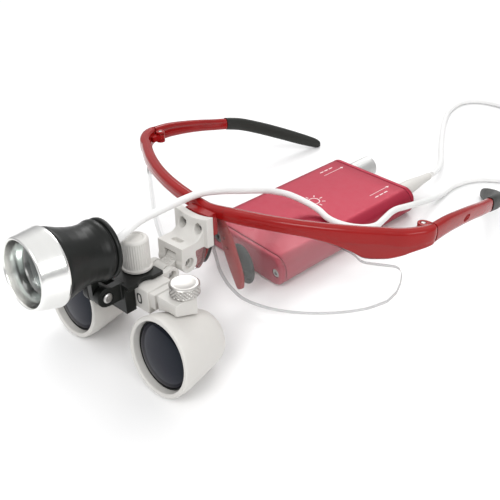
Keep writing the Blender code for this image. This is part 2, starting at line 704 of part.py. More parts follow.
def barrel_outline():
    """The outer side of a barrel from its front rim to its rear face, as radius and z."""
    r = BARREL_RADIUS
    end = -BARREL_LENGTH
    return [(r - 0.5, 0.0), (r, -0.6), (r - 0.2, -4.0), (r - 4.0, -21.0), (r - 4.9, -23.6), (r - 6.2, end)]


def make_barrel(side, label, tilt):
    slide = empty("carriage_" + label + "_slide", tilt,
                  place_under(tilt, (side * SWIVEL[0], SWIVEL[1], RAIL_Z[0])))
    make_carriage(side, label, slide)
    swivel = empty("barrel_" + label + "_swivel", slide,
                   place_under(slide, (side * SWIVEL[0], SWIVEL[1], BARREL_FRONT[2])))
    axis = barrel_axis(swivel, side)
    inner = [(7.6, -25.0), (7.6, -23.6), (8.8, -22.6), (12.0, -6.4), (12.6, -5.6), (13.4, -5.6), (13.4, -0.4)]
    shell = turned("barrel_" + label, axis, barrel_outline() + inner, "white_plastic", closed=True, steps=32)
    cut(shell, rod("pin_bore", swivel, (side * SWIVEL[0], SWIVEL[1], -23.0), 1.5, 7))
    lens = [(0, -1.2), (5.0, -1.7), (9.5, -3.1), (12.3, -4.6), (12.3, -5.4), (0, -5.4)]
    turned("objective_lens_" + label, axis, lens, "coated_glass")
    ring = [(12.9, -0.9), (13.1, -1.1), (13.1, -4.2), (12.5, -4.2), (12.1, -0.9)]
    turned("lens_ring_" + label, axis, ring, "black_plastic", closed=True)
    eyepiece = [(0, -23.2), (4.0, -23.4), (7.2, -24.0), (7.2, -24.8), (0, -24.8)]
    turned("eyepiece_lens_" + label, axis, eyepiece, "clear_glass", steps=20)
    turned("swivel_pin_" + label, slide, [(0, 0), (1.1, 0), (1.1, -3.4), (0, -3.4)], "steel",
           place_under(slide, (side * SWIVEL[0], SWIVEL[1], -19.4)), steps=12)


def make_carriage(side, label, slide):
    ends = (side * CARRIAGE_X[0], side * CARRIAGE_X[1])
    body = block("carriage_" + label, slide, ends, CARRIAGE_Y, CARRIAGE_Z, "white_plastic")
    cut(body, block("channel", slide, (side * 10, side * (RAIL_HALF_LENGTH + GAP)),
                    (RAIL_Y[0] - GAP, RAIL_Y[1] + GAP), (RAIL_Z[0] - GAP, RAIL_Z[1] + GAP)))
    seat = barrel_axis(slide, side)
    outline = [(0, 4.0), (BARREL_RADIUS + SEAT_GAP, 4.0)]
    outline += [(r + SEAT_GAP, z) for r, z in barrel_outline()[1:]]
    outline += [(0, -BARREL_LENGTH)]
    cut(body, turned("barrel_seat", seat, outline, "steel", steps=32))
    cut(body, rod("screw_bore", slide, (side * THUMB_SCREW[0], THUMB_SCREW[1], -13.6), 1.6, 3.6),
        rod("pin_bore", slide, (side * SWIVEL[0], SWIVEL[1], -20.6), 1.4, 2.9))
    axis = empty("thumb_screw_" + label + "_axis", slide,
                 place_under(slide, (side * THUMB_SCREW[0], THUMB_SCREW[1], CARRIAGE_Z[1] + GAP)))
    profile = [(0, 4.6), (4.9, 4.6), (5.5, 4.0), (5.5, 0.6), (5.1, 0), (1.3, 0), (1.3, -2.0), (0, -2.0)]
    turned("thumb_screw_" + label, axis, profile, "silver_metal", steps=32)


# ---------------------------------------------------------------- battery box

def upright(outline_depth_centre, z=BOX_HEIGHT / 2):
    """Place and turn for an outline that stands across the box at a distance along it."""
    return (0, outline_depth_centre, z), (pi / 2, 0, 0)


def make_battery_box():
    half = BOX_LENGTH / 2
    shell_length = BOX_LENGTH - 2 * (END_CAP + GAP)
    place, turn = upright(0)
    outer = rounded_rectangle(BOX_WIDTH, BOX_HEIGHT, BOX_EDGE)
    hollow = rounded_rectangle(BOX_WIDTH - 2 * BOX_WALL, BOX_HEIGHT - 2 * BOX_WALL, BOX_EDGE - BOX_WALL)
    as_mesh(extruded("battery_case", BOX, [outer, hollow], shell_length, "red_anodised", place, turn))
    ends = {"charge_end_cap": -1, "output_end_cap": 1}
    for name, end in ends.items():
        place, turn = upright(end * (half - END_CAP / 2))
        cap = as_mesh(extruded(name, BOX, [outer], END_CAP, "red_anodised", place, turn))
        for side in (1, -1):
            middle = (side * CAP_SCREW_X, end * half, BOX_HEIGHT / 2)
            cut(cap, cylinder("screw_bore", BOX, middle, 1.1, 10, "Y"),
                cylinder("head_bore", BOX, middle, 2.2, 3.2, "Y"))
            label = ("charge" if end < 0 else "output") + "_end_screw_" + ("left" if side > 0 else "right")
            profile = [(0, 0), (1.9, 0), (1.9, -1.2), (0.8, -1.2), (0.8, -9.0), (0, -9.0)]
            turned(label, BOX, profile, "steel", (middle[0], end * (half - 0.2), middle[2]),
                   (-end * pi / 2, 0, 0), 16)
        if end < 0:
            cut(cap, cylinder("socket_bore", BOX, (SOCKET_X, -half, 7.4), 3.1, 10, "Y"))
        else:
            cut(cap, cylinder("shaft_bore", BOX, (DIMMER_X, half, 7.0), 1.9, 10, "Y"),
                cylinder("plug_bore", BOX, (OUTPUT_X, half, 7.0), 2.1, 10, "Y"))
    socket = [(0, -7.6), (1.3, -7.6), (1.3, 0), (2.8, 0), (2.8, -9.0), (0, -9.0)]
    turned("charge_socket", BOX, socket, "black_plastic", (SOCKET_X, -half + 0.1, 7.4), (pi / 2, 0, 0), 20)
    box("battery_cell", BOX, (-22.0, 22.0), (-24.0, 26.0), (2.4, 11.6), "cell_wrap", 1.5)
    box("circuit_board", BOX, (-24.0, 24.0), (27.0, 37.0), (2.4, 4.0), "green_board")


def make_dimmer():
    half = BOX_LENGTH / 2
    axis = empty("dimmer_axis", BOX, (DIMMER_X, half, 7.0), (-pi / 2, 0, 0))
    top = DIMMER_LENGTH + GAP
    profile = [(0, top), (4.8, top), (DIMMER_RADIUS, top - 0.8), (DIMMER_RADIUS, 0.8 + GAP), (5.2, GAP),
               (1.5, GAP), (1.5, -6.0), (0, -6.0)]
    turned("dimmer_knob", axis, profile, "silver_metal")


def make_plug():
    half = BOX_LENGTH / 2
    top = PLUG_LENGTH + GAP
    profile = [(0, top), (1.7, top), (2.3, top - 6.0), (3.5, top - 14.0), (3.9, 6.0), (3.9, GAP), (1.7, GAP),
               (1.7, -5.0), (0, -5.0)]
    turned("output_plug", BOX, profile, "white_plastic", (OUTPUT_X, half, 7.0), (-pi / 2, 0, 0), 24)


# ---------------------------------------------------------------- cord

def cord_points(route, step=CORD_STEP):
    """Evenly spaced points on a smooth curve through a route."""
    fine = [spline(route, i / 20) for i in range((len(route) - 1) * 20 + 1)]
    along = [0.0]
    for a, b in zip(fine, fine[1:]):
        along.append(along[-1] + (b - a).length)
    count = max(2, round(along[-1] / step))
    points = []
    j = 0
    for i in range(count + 1):
        target = along[-1] * i / count
        while j < len(fine) - 2 and along[j + 1] < target:
            j += 1
        t = (target - along[j]) / (along[j + 1] - along[j])
        points.append(fine[j].lerp(fine[j + 1], min(max(t, 0), 1)))
    return points, along[-1]


def stretch(points, start, end):
    """The part of a line of points between two distances along it."""
    out = []
    done = 0.0
    for a, b in zip(points, points[1:]):
        length = (b - a).length
        for place in (start, end):
            if done <= place < done + length:
                out.append(a.lerp(b, (place - done) / length))
        if start < done + length < end:
            out.append(b)
        done += length
    return out


def make_cord():
    lead, lead_length = cord_points(LEAD_ROUTE, 3.0)
    cuts = [0.0, *LEAD_SPLITS, lead_length - 0.01]
    half_gap = GAP / 2
    for number, (start, end) in enumerate(zip(cuts, cuts[1:]), 1):
        piece = stretch(lead, start + half_gap, end - half_gap)
        if number == 3:
            piece = cord_points(piece)[0]
        tube("cord_lead_%d" % number, TABLE, piece, CORD_RADIUS, "white_cord")
    back, back_length = cord_points(RETURN_ROUTE)
    tube("cord_return", TABLE, back, CORD_RADIUS, "white_cord")
    ring = []
    for i in range(8):
        angle = -2 * pi * (i + 0.5) / 8
        ring.append((COIL_RADIUS + COIL_SECTION * cos(angle), COIL_SECTION * sin(angle)))
    turned("cord_coil", TABLE, ring, "white_cord", (*COIL_CENTRE, COIL_SECTION * cos(pi / 8)), closed=True)
    print("cord lengths, mm: lead", round(lead_length), "return", round(back_length),
          "left for the coil", round(CORD_LENGTH - lead_length - back_length))


clear_scene()
PARTS = collection("dental_loupes")
TOOLS = collection("cutters")
TABLE = empty("table", None, (0, -FOOTPRINT_CENTRE_Y, 0))
GLASSES = empty("glasses", TABLE, (0, 0, BRIDGE_HEIGHT), (-GLASSES_PITCH, 0, 0))
BOX = empty("battery_box", TABLE, (*BOX_CENTRE, 0), (0, 0, BOX_TURN))

make_front()
make_nose()
for SIDE, LABEL in ((1, "left"), (-1, "right")):
    make_lens(SIDE, LABEL)
    make_temple(SIDE, LABEL)
make_bracket()
make_bracket_screws()
CROSS = make_link()
make_crossbar(CROSS)
make_clamp(CROSS)
make_lamp_clip(CROSS)
make_lamp(CROSS)
for SIDE, LABEL in ((1, "left"), (-1, "right")):
    make_barrel(SIDE, LABEL, CROSS)
make_battery_box()
make_dimmer()
make_plug()
make_cord()
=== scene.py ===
"""Looks for the dental loupes: camera, light, cord, fine meshes and materials around the CAD model.

Sizes are in millimetres unless a line says metres. Each piece has its points in a space of its own: the
table, the glasses (origin on top of the bridge, x to the wearer's left, y backwards), the battery box,
or, for turned pieces, their axis.
"""

from math import cos, hypot, pi, radians, sin

import bmesh
import bpy
from mathutils import Matrix, Vector


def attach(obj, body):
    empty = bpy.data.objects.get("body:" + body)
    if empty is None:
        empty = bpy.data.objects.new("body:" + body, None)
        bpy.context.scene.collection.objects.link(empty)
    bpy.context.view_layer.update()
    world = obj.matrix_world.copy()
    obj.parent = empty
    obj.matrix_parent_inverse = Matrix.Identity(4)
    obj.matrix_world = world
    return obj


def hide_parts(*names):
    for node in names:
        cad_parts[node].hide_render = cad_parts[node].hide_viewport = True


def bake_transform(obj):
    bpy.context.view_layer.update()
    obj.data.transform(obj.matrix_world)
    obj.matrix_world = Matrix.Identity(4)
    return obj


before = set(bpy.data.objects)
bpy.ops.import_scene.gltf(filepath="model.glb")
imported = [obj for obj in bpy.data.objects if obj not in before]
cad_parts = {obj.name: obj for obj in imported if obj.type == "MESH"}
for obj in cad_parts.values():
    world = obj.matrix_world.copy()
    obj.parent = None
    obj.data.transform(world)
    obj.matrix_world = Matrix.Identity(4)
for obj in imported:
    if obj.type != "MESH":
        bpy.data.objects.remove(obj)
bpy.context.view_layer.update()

MM = 0.001
SIDES = ((1, "left"), (-1, "right"))

# Stance, as in the CAD model
FOOTPRINT_CENTRE_Y = 34.5
BRIDGE_HEIGHT = 43.77
GLASSES_PITCH = radians(4.4)
BOX_CENTRE = (0.7, 69.5, 0)
BOX_TURN = radians(-7.8)

# Camera, in metres
CAMERA_PLACE = (0.1667, -0.1772, 0.1679)
CAMERA_AZIMUTH = radians(44.66)
CAMERA_ELEVATION = radians(33.73)
CAMERA_ROLL = radians(-4.28)
CAMERA_LENS = 45.9

# Glasses
BRIDGE_Y = 4.0
FACE_RADIUS = 92.0
BOW_END_X = 66.0
BROW_DEPTH = 4.8
HINGE = (73.6, 42.8, -0.6)
HINGE_LEAF = 2.6
HINGE_EYE_RADIUS = 2.2
TEMPLE_EYE = 1.1
GAP = 0.3

# Mount
FLIP_AXIS = (-13.5, -16.8)  # y, z
TILT_AXIS = (-21.6, -19.0)
SCREW_X = 4.4
SCREW_Z = -5.6
CLAMP = (0, -33.0, -11.9)
KNUCKLE_BORE = 1.5
THUMB_SCREW = (24.8, -32.0, -13.1)
SWIVEL = (24.6, -34.5)
BARREL_FRONT = (25.9, -47.9, -31.9)
BARREL_TILT = radians(8.3)
LAMP_FRONT = (0.0, -77.1, 5.5)
LAMP_TILT = radians(6.8)
LAMP_PIVOT = (-50.5, -14.8)

# Battery box
BOX_LENGTH = 89.5
BOX_WIDTH = 55.4
BOX_HEIGHT = 14.0
BOX_EDGE = 6.0
BOX_WALL = 1.5
END_CAP = 3.0
CAP_SCREW_X = 23.8
SOCKET_X = -17.0
DIMMER_X = -15.0
DIMMER_FLUTES = 44
OUTPUT_X = 15.8

# Cord, in metres on the table: from the lamp's gland to the coil, and from the coil to the plug
CORD_DIAMETER = 0.003
LEAD_ROUTE = [
    (0.0000, -0.0403, 0.0492), (-0.0006, -0.0360, 0.0496), (-0.0026, -0.0295, 0.0496),
    (-0.0044, -0.0208, 0.0487), (-0.0052, 0.0018, 0.0466), (-0.0050, 0.0145, 0.0430),
    (-0.0056, 0.0285, 0.0368), (-0.0058, 0.0420, 0.0309), (-0.0055, 0.0502, 0.0268),
    (-0.0025, 0.0570, 0.0230), (0.0035, 0.0614, 0.0192), (0.0104, 0.0624, 0.0169),
    (0.0173, 0.0605, 0.0157), (0.0240, 0.0598, 0.0156), (0.0299, 0.0618, 0.0150),
    (0.0342, 0.0661, 0.0140), (0.0362, 0.0720, 0.0130), (0.0354, 0.0795, 0.0124),
    (0.0342, 0.0905, 0.0115), (0.0360, 0.1030, 0.0090), (0.0370, 0.1286, 0.0024),
    (0.0372, 0.1450, 0.0016), (0.0436, 0.1588, 0.0016), (0.0575, 0.1666, 0.0016),
    (0.0740, 0.1708, 0.0016), (0.0898, 0.1751, 0.0016),
]
RETURN_ROUTE = [
    (0.0985, 0.2143, 0.0016), (0.0846, 0.2250, 0.0016), (0.0670, 0.2356, 0.0016),
    (0.0430, 0.2498, 0.0016), (0.0150, 0.2622, 0.0016), (-0.0035, 0.2638, 0.0016),
    (-0.0136, 0.2550, 0.0016), (-0.0136, 0.2365, 0.0016), (-0.0050, 0.2128, 0.0016),
    (0.0069, 0.1882, 0.0016), (0.0162, 0.1704, 0.0022), (0.0218, 0.1584, 0.0044),
    (0.0256, 0.1470, 0.0064), (0.0263, 0.1410, 0.0069),
]
LEAD_SPLITS = (0.007, 0.014)  # along the lead: where it crosses from body to body
COIL_CENTRE = (0.0840, 0.1970)
COIL_RADIUS = 0.0165  # to the middle of the turns
COIL_MIDDLE_Z = 0.00425
COIL_TURNS = 6
COIL_STEPS = 24
STRAND_PITCH = 0.00305  # between neighbouring turns
STRAP_ANGLE = radians(-14)

TABLE = Matrix.Translation((0, -FOOTPRINT_CENTRE_Y * MM, 0))


def space(parent, place, turn_x=0.0, turn_z=0.0):
    """A space moved by millimetres and then turned."""
    moved = parent @ Matrix.Translation(Vector(place) * MM)
    return moved @ Matrix.Rotation(turn_z, 4, "Z") @ Matrix.Rotation(turn_x, 4, "X")


GLASSES = space(TABLE, (0, 0, BRIDGE_HEIGHT), turn_x=-GLASSES_PITCH)
BOX = space(TABLE, BOX_CENTRE, turn_z=BOX_TURN)


# ---------------------------------------------------------------- camera and light

def make_camera():
    data = bpy.data.cameras.new("camera")
    data.sensor_width = 36
    data.lens = CAMERA_LENS
    data.clip_start = 0.01
    camera = bpy.data.objects.new("camera", data)
    bpy.context.scene.collection.objects.link(camera)
    a = CAMERA_AZIMUTH
    e = CAMERA_ELEVATION
    forward = Vector((-sin(a) * cos(e), cos(a) * cos(e), -sin(e)))
    right = Vector((cos(a), sin(a), 0))
    up = right.cross(forward)
    rolled_right = right * cos(CAMERA_ROLL) + up * sin(CAMERA_ROLL)
    rolled_up = up * cos(CAMERA_ROLL) - right * sin(CAMERA_ROLL)
    turn = Matrix((rolled_right, rolled_up, -forward)).transposed().to_4x4()
    camera.matrix_world = Matrix.Translation(CAMERA_PLACE) @ turn
    bpy.context.scene.camera = camera


def make_softbox(name, place, target, size, power, colour=(1, 1, 1)):
    data = bpy.data.lights.new(name, "AREA")
    data.shape = "RECTANGLE"
    data.size, data.size_y = size
    data.energy = power
    data.color = colour
    made = bpy.data.objects.new(name, data)
    bpy.context.scene.collection.objects.link(made)
    made.location = place
    made.rotation_euler = (Vector(place) - Vector(target)).to_track_quat("Z", "Y").to_euler()


def make_studio():
    world = bpy.data.worlds.new("studio")
    world.use_nodes = True
    tree = world.node_tree
    backdrop = tree.nodes["Background"]
    place = new_node(tree, "ShaderNodeTexCoord")
    height = new_node(tree, "ShaderNodeSeparateXYZ")
    ramp = new_node(tree, "ShaderNodeValToRGB")
    ramp.color_ramp.elements[0].position = 0.0
    ramp.color_ramp.elements[0].color = (0.36, 0.36, 0.37, 1)
    ramp.color_ramp.elements[1].position = 0.75
    ramp.color_ramp.elements[1].color = (0.95, 0.95, 0.95, 1)
    wire(tree, place, "Generated", height, "Vector")
    wire(tree, height, "Z", ramp, "Fac")
    wire(tree, ramp, "Color", backdrop, "Color")
    bpy.context.scene.world = world
    bpy.context.scene.view_settings.view_transform = "Standard"
    middle = (0, 0, 0.02)
    make_softbox("key", (0.15, -0.75, 0.95), middle, (0.5, 0.5), 4.5)
    make_softbox("side", (0.9, -0.1, 0.55), middle, (0.6, 0.4), 2.5)
    make_softbox("back", (-0.5, 0.8, 0.8), middle, (0.9, 0.4), 4.5)

    data = bpy.data.meshes.new("floor")
    half = 2.5
    data.from_pydata([(-half, -half, 0), (half, -half, 0), (half, half, 0), (-half, half, 0)], [],
                     [(0, 1, 2, 3)])
    floor = bpy.data.objects.new("floor", data)
    bpy.context.scene.collection.objects.link(floor)
    floor.location.z = -0.0002
    data.materials.append(MATERIALS["floor"])


# ---------------------------------------------------------------- materials

MATERIALS = {}
DRIFT_SIZE = 14  # the slow change of tone is this much coarser than the grain
OWN_AXIS = ("bright_aluminium", "steel", "lamp_black")  # their texture follows the piece's own z


def new_node(tree, kind, inputs=(), **settings):
    made = tree.nodes.new(kind)
    for key, value in settings.items():
        setattr(made, key, value)
    for key, value in dict(inputs).items():
        made.inputs[key].default_value = value
    return made


def wire(tree, source, output, target, socket):
    tree.links.new(source.outputs[output], target.inputs[socket])


def start_material(name, colour, roughness, metallic, sockets):
    made = bpy.data.materials.new(name)
    made.use_nodes = True
    made.diffuse_color = (*colour, 1)
    tree = made.node_tree
    shader = tree.nodes["Principled BSDF"]
    shader.inputs["Base Color"].default_value = (*colour, 1)
    shader.inputs["Roughness"].default_value = roughness
    shader.inputs["Metallic"].default_value = metallic
    for key, value in sockets.items():
        shader.inputs[key].default_value = value
    MATERIALS[name] = made
    return tree, shader


def shades(tree, factor, dark, light, shader):
    """The base colour runs between two shades with a factor."""
    mix = new_node(tree, "ShaderNodeMix", data_type="RGBA")
    mix.inputs["A"].default_value = (*dark, 1)
    mix.inputs["B"].default_value = (*light, 1)
    tree.links.new(factor, mix.inputs["Factor"])
    wire(tree, mix, "Result", shader, "Base Color")


def surface(name, colour, roughness, metallic=0.0, tone=0.05, spread=0.05, grain=2500.0, bump=0.01,
            stretch=(1, 1, 1), sockets=None):
    """A material whose tone and gloss drift slowly, with a fine grain as high as bump."""
    tree, shader = start_material(name, colour, roughness, metallic, sockets or {})
    place = new_node(tree, "ShaderNodeTexCoord")
    mapping = new_node(tree, "ShaderNodeMapping", {"Scale": stretch})
    wire(tree, place, "Object", mapping, "Vector")
    drift = new_node(tree, "ShaderNodeTexNoise", {"Scale": grain / DRIFT_SIZE, "Detail": 4.0})
    fine = new_node(tree, "ShaderNodeTexNoise", {"Scale": grain, "Detail": 3.0})
    for noise in (drift, fine):
        wire(tree, mapping, "Vector", noise, "Vector")
    dark = [c * (1 - tone) for c in colour]
    light = [min(1, c * (1 + tone)) for c in colour]
    shades(tree, drift.outputs["Fac"], dark, light, shader)
    gloss = new_node(tree, "ShaderNodeMapRange", {"From Min": 0.3, "From Max": 0.7,
                                                  "To Min": roughness - spread,
                                                  "To Max": roughness + spread})
    wire(tree, drift, "Fac", gloss, "Value")
    wire(tree, gloss, "Result", shader, "Roughness")
    relief = new_node(tree, "ShaderNodeBump", {"Distance": bump * MM, "Strength": 1.0})
    wire(tree, fine, "Fac", relief, "Height")
    wire(tree, relief, "Normal", shader, "Normal")
    return tree, shader


def turned_metal(name, colour, roughness, bump=0.004):
    """Bare metal with the fine rings that a lathe leaves round the piece's own z axis."""
    tree, shader = start_material(name, colour, roughness, 1.0, {"Anisotropic": 0.5})
    place = new_node(tree, "ShaderNodeTexCoord")
    parts = new_node(tree, "ShaderNodeSeparateXYZ")
    flat = new_node(tree, "ShaderNodeVectorMath", operation="MULTIPLY")
    flat.inputs[1].default_value = (1, 1, 0)
    size = new_node(tree, "ShaderNodeVectorMath", operation="LENGTH")
    rings = new_node(tree, "ShaderNodeCombineXYZ")
    noise = new_node(tree, "ShaderNodeTexNoise", {"Scale": 3500.0, "Detail": 2.0})
    wire(tree, place, "Object", parts, "Vector")
    wire(tree, place, "Object", flat, 0)
    wire(tree, flat, "Vector", size, 0)
    wire(tree, size, "Value", rings, "X")
    wire(tree, parts, "Z", rings, "Y")
    wire(tree, rings, "Vector", noise, "Vector")
    shades(tree, noise.outputs["Fac"], [c * 0.88 for c in colour], [min(1, c * 1.08) for c in colour],
           shader)
    gloss = new_node(tree, "ShaderNodeMapRange", {"To Min": roughness - 0.06,
                                                  "To Max": roughness + 0.08})
    wire(tree, noise, "Fac", gloss, "Value")
    wire(tree, gloss, "Result", shader, "Roughness")
    relief = new_node(tree, "ShaderNodeBump", {"Distance": bump * MM, "Strength": 1.0})
    wire(tree, noise, "Fac", relief, "Height")
    wire(tree, relief, "Normal", shader, "Normal")
    tangent = new_node(tree, "ShaderNodeTangent", direction_type="RADIAL", axis="Z")
    wire(tree, tangent, "Tangent", shader, "Tangent")


def see_through(name, tint, gloss_share, haze_and_shade=0.0, haze_and_shade_colour=(0.4, 0.42, 0.43)):
    """Thin clear plastic: a view through it, a reflection that grows towards the edges, and a diffuse
    layer that is faint haze on the face and painted shade on the rim, drawing its dark outline.
    """
    made = bpy.data.materials.new(name)
    made.use_nodes = True
    tree = made.node_tree
    tree.nodes.remove(tree.nodes["Principled BSDF"])
    clear = new_node(tree, "ShaderNodeBsdfTransparent", {"Color": (*tint, 1)})
    mirror = new_node(tree, "ShaderNodeBsdfGlossy", {"Color": (1, 1, 1, 1), "Roughness": 0.03})
    facing = new_node(tree, "ShaderNodeLayerWeight", {"Blend": 0.5})
    grazing = new_node(tree, "ShaderNodeMath", operation="POWER")
    grazing.inputs[1].default_value = 4.0
    share = new_node(tree, "ShaderNodeMath", operation="MULTIPLY_ADD")
    share.inputs[1].default_value = gloss_share
    share.inputs[2].default_value = 0.05 * gloss_share
    wire(tree, facing, "Facing", grazing, 0)
    wire(tree, grazing, "Value", share, 0)
    mix = new_node(tree, "ShaderNodeMixShader")
    wire(tree, share, "Value", mix, "Fac")
    wire(tree, clear, "BSDF", mix, 1)
    wire(tree, mirror, "BSDF", mix, 2)
    last = mix
    if haze_and_shade:
        haze_and_shade_layer = new_node(tree, "ShaderNodeBsdfDiffuse", {"Color": (*haze_and_shade_colour, 1)})
        last = new_node(tree, "ShaderNodeMixShader", {"Fac": haze_and_shade})
        wire(tree, mix, "Shader", last, 1)
        wire(tree, haze_and_shade_layer, "BSDF", last, 2)
    tree.links.new(last.outputs["Shader"], tree.nodes["Material Output"].inputs["Surface"])
    MATERIALS[name] = made


def coated_glass(name, middle, edge):
    """A dark objective: its coating shifts from one hue face on to another at the rim."""
    tree, shader = start_material(name, middle, 0.03, 0.0, {
        "IOR": 1.5, "Specular Tint": (0.45, 0.5, 0.62, 1), "Specular IOR Level": 0.35,
    })
    facing = new_node(tree, "ShaderNodeLayerWeight", {"Blend": 0.45})
    shades(tree, facing.outputs["Facing"], middle, edge, shader)


def make_materials():
    surface("floor", (0.9, 0.9, 0.9), 0.42, grain=60, bump=0.0, tone=0.004)
    surface("frame_red", (0.29, 0.006, 0.006), 0.2, tone=0.16, spread=0.04, grain=900, bump=0.003,
            sockets={"Coat Weight": 0.2, "Coat Roughness": 0.04, "Specular IOR Level": 0.22})
    surface("white_plastic", (0.63, 0.615, 0.585), 0.42, tone=0.02, grain=3500, bump=0.006,
            sockets={"Specular IOR Level": 0.45})
    surface("black_rubber", (0.014, 0.015, 0.012), 0.5, tone=0.25, grain=3000, bump=0.012,
            sockets={"Specular IOR Level": 0.35})
    surface("pad_rubber", (0.008, 0.014, 0.011), 0.3, tone=0.2, grain=1500, bump=0.01)
    surface("black_plastic", (0.008, 0.009, 0.008), 0.42, tone=0.2, grain=3500, bump=0.01,
            sockets={"Specular IOR Level": 0.3})
    surface("lamp_black", (0.008, 0.009, 0.008), 0.34, metallic=0.0, tone=0.5, spread=0.05, grain=2600,
            bump=0.0016, stretch=(1, 1, 0.01), sockets={"Specular IOR Level": 0.28})
    surface("lamp_inside", (0.05, 0.056, 0.052), 0.3, metallic=0.6, tone=0.3, grain=900, bump=0.004)
    surface("knurled_steel", (0.5, 0.485, 0.465), 0.34, metallic=0.9, tone=0.06, grain=2400, bump=0.003)
    turned_metal("bright_aluminium", (0.90, 0.90, 0.88), 0.18, bump=0.0025)
    turned_metal("steel", (0.5, 0.49, 0.48), 0.3, bump=0.002)
    surface("knob_silver", (0.56, 0.56, 0.55), 0.36, metallic=0.85, tone=0.05, grain=2500, bump=0.01)
    surface("box_red", (0.34, 0.010, 0.035), 0.4, metallic=0.45, tone=0.06, spread=0.04, grain=5200,
            bump=0.012, sockets={"Specular IOR Level": 0.5})
    surface("white_ink", (0.75, 0.62, 0.62), 0.6, grain=2500)
    surface("black_ink", (0.012, 0.012, 0.012), 0.6, grain=2500)
    surface("white_cord", (0.80, 0.80, 0.79), 0.42, tone=0.03, grain=1800, bump=0.012)
    surface("cord_strap", (0.02, 0.02, 0.022), 0.85, tone=0.3, grain=5200, bump=0.08)
    surface("cell_wrap", (0.06, 0.14, 0.4), 0.3, tone=0.1, grain=900)
    surface("board_green", (0.02, 0.16, 0.06), 0.45, tone=0.1, grain=900)
    surface("led_chip", (0.75, 0.6, 0.08), 0.5, tone=0.1, grain=4000)
    surface("led_base", (0.004, 0.004, 0.004), 0.5, tone=0.1, grain=2000)
    tree, shader = start_material("lamp_glass", (0.55, 0.62, 0.6), 0.015, 0.0,
                                  {"Transmission Weight": 1.0, "IOR": 1.35, "Specular IOR Level": 0.4})
    facing = new_node(tree, "ShaderNodeLayerWeight", {"Blend": 0.4})
    shades(tree, facing.outputs["Facing"], (0.6, 0.68, 0.66), (0.4, 0.45, 0.44), shader)
    see_through("clear_lens", (0.985, 0.985, 0.985), 0.7, haze_and_shade=0.03, haze_and_shade_colour=(0.9, 0.9, 0.9))
    # painted shade: the lens's rim (lens_edge) and bevel (lens_line) take a grey and a near-black
    # diffuse layer that draws the dark outline of the clear edge
    see_through("lens_edge", (0.80, 0.81, 0.81), 0.3, haze_and_shade=0.4, haze_and_shade_colour=(0.22, 0.23, 0.23))
    see_through("lens_line", (0.2, 0.21, 0.22), 0.1, haze_and_shade=0.95, haze_and_shade_colour=(0.04, 0.045, 0.045))
    coated_glass("coated_glass", (0.001, 0.004, 0.004), (0.008, 0.005, 0.018))


# ---------------------------------------------------------------- shapes: (points, faces)

def merged(*shapes):
    points = []
    faces = []
    for shape_points, shape_faces in shapes:
        start = len(points)
        points += [Vector(p) for p in shape_points]
        faces += [tuple(i + start for i in face) for face in shape_faces]
    return points, faces


def moved(shape, matrix):
    """The shape seen from another space, both in millimetres."""
    return [matrix @ Vector(p) for p in shape[0]], shape[1]


def between(own, other):
    """The matrix that takes a shape in millimetres from one space to another."""
    matrix = other.inverted() @ own
    matrix.translation /= MM
    return matrix


def mirrored(shape):
    return [Vector((-p[0], p[1], p[2])) for p in shape[0]], [tuple(reversed(face)) for face in shape[1]]


def block(x, y, z):
    points = [(px, py, pz) for px in x for py in y for pz in z]
    return points, [(0, 1, 3, 2), (4, 6, 7, 5), (0, 4, 5, 1), (2, 3, 7, 6), (0, 2, 6, 4), (1, 5, 7, 3)]


def skin(rings, closed=False):
    """A skin through rings of the same count, with end faces or, when closed, back to its first ring."""
    count = len(rings[0])
    points = [Vector(p) for ring in rings for p in ring]
    faces = []
    for step in range(len(rings) if closed else len(rings) - 1):
        for i in range(count):
            a = step * count + i
            b = step * count + (i + 1) % count
            up = count if step < len(rings) - 1 else -step * count
            faces.append((a, b, b + up, a + up))
    if not closed:
        faces.append(tuple(reversed(range(count))))
        faces.append(tuple(range(len(points) - count, len(points))))
    return points, faces


def softened(profile, radius, closed=False, cuts=4):
    """A profile with its corners rounded."""
    out = []
    for i, corner in enumerate(profile):
        if not closed and i in (0, len(profile) - 1):
            out.append(tuple(corner))
            continue
        corner = Vector(corner)
        before = Vector(profile[i - 1]) - corner
        after = Vector(profile[(i + 1) % len(profile)]) - corner
        a = corner + before.normalized() * min(radius, before.length * 0.45)
        b = corner + after.normalized() * min(radius, after.length * 0.45)
        for k in range(cuts + 1):
            t = k / cuts
            out.append(tuple(a * (1 - t) ** 2 + corner * 2 * t * (1 - t) + b * t * t))
    return out


def turned(profile, closed=False, steps=72, rib=None):
    """A profile of (radius, z) turned about z. rib(angle, radius, z) may change each point's radius."""
    rows = []
    points = []
    for radius, z in profile:
        if radius < 1e-6:
            rows.append([len(points)] * steps)
            points.append((0, 0, z))
            continue
        rows.append(list(range(len(points), len(points) + steps)))
        for i in range(steps):
            angle = 2 * pi * i / steps
            r = rib(angle, radius, z) if rib else radius
            points.append((r * cos(angle), r * sin(angle), z))
    faces = []
    pairs = list(zip(rows, rows[1:]))
    if closed:
        pairs.append((rows[-1], rows[0]))
    for lower, upper in pairs:
        for i in range(steps):
            j = (i + 1) % steps
            face = dict.fromkeys((lower[i], lower[j], upper[j], upper[i]))
            if len(face) > 2:
                faces.append(tuple(face))
    return points, faces


AXES = {
    "X": Matrix.Rotation(pi / 2, 4, "Y"),
    "Y": Matrix.Rotation(-pi / 2, 4, "X"),
    "Z": Matrix(),
}


def rod(centre, radius, length, axis="X", soft=0.0, steps=48):
    """A round bar about one axis, with its two rims softened."""
    half = length / 2
    profile = [(0, -half), (radius, -half), (radius, half), (0, half)]
    if soft:
        profile = softened(profile, soft)
    return moved(turned(profile, steps=steps), Matrix.Translation(centre) @ AXES[axis])


def on_side(side, place):
    """A place given on the wearer's left, or its mirror image."""
    return (side * place[0], *place[1:])


def prism(outline, ends):
    """A closed outline of (y, z), stretched between two x."""
    return skin([[(x, y, z) for y, z in outline] for x in ends])


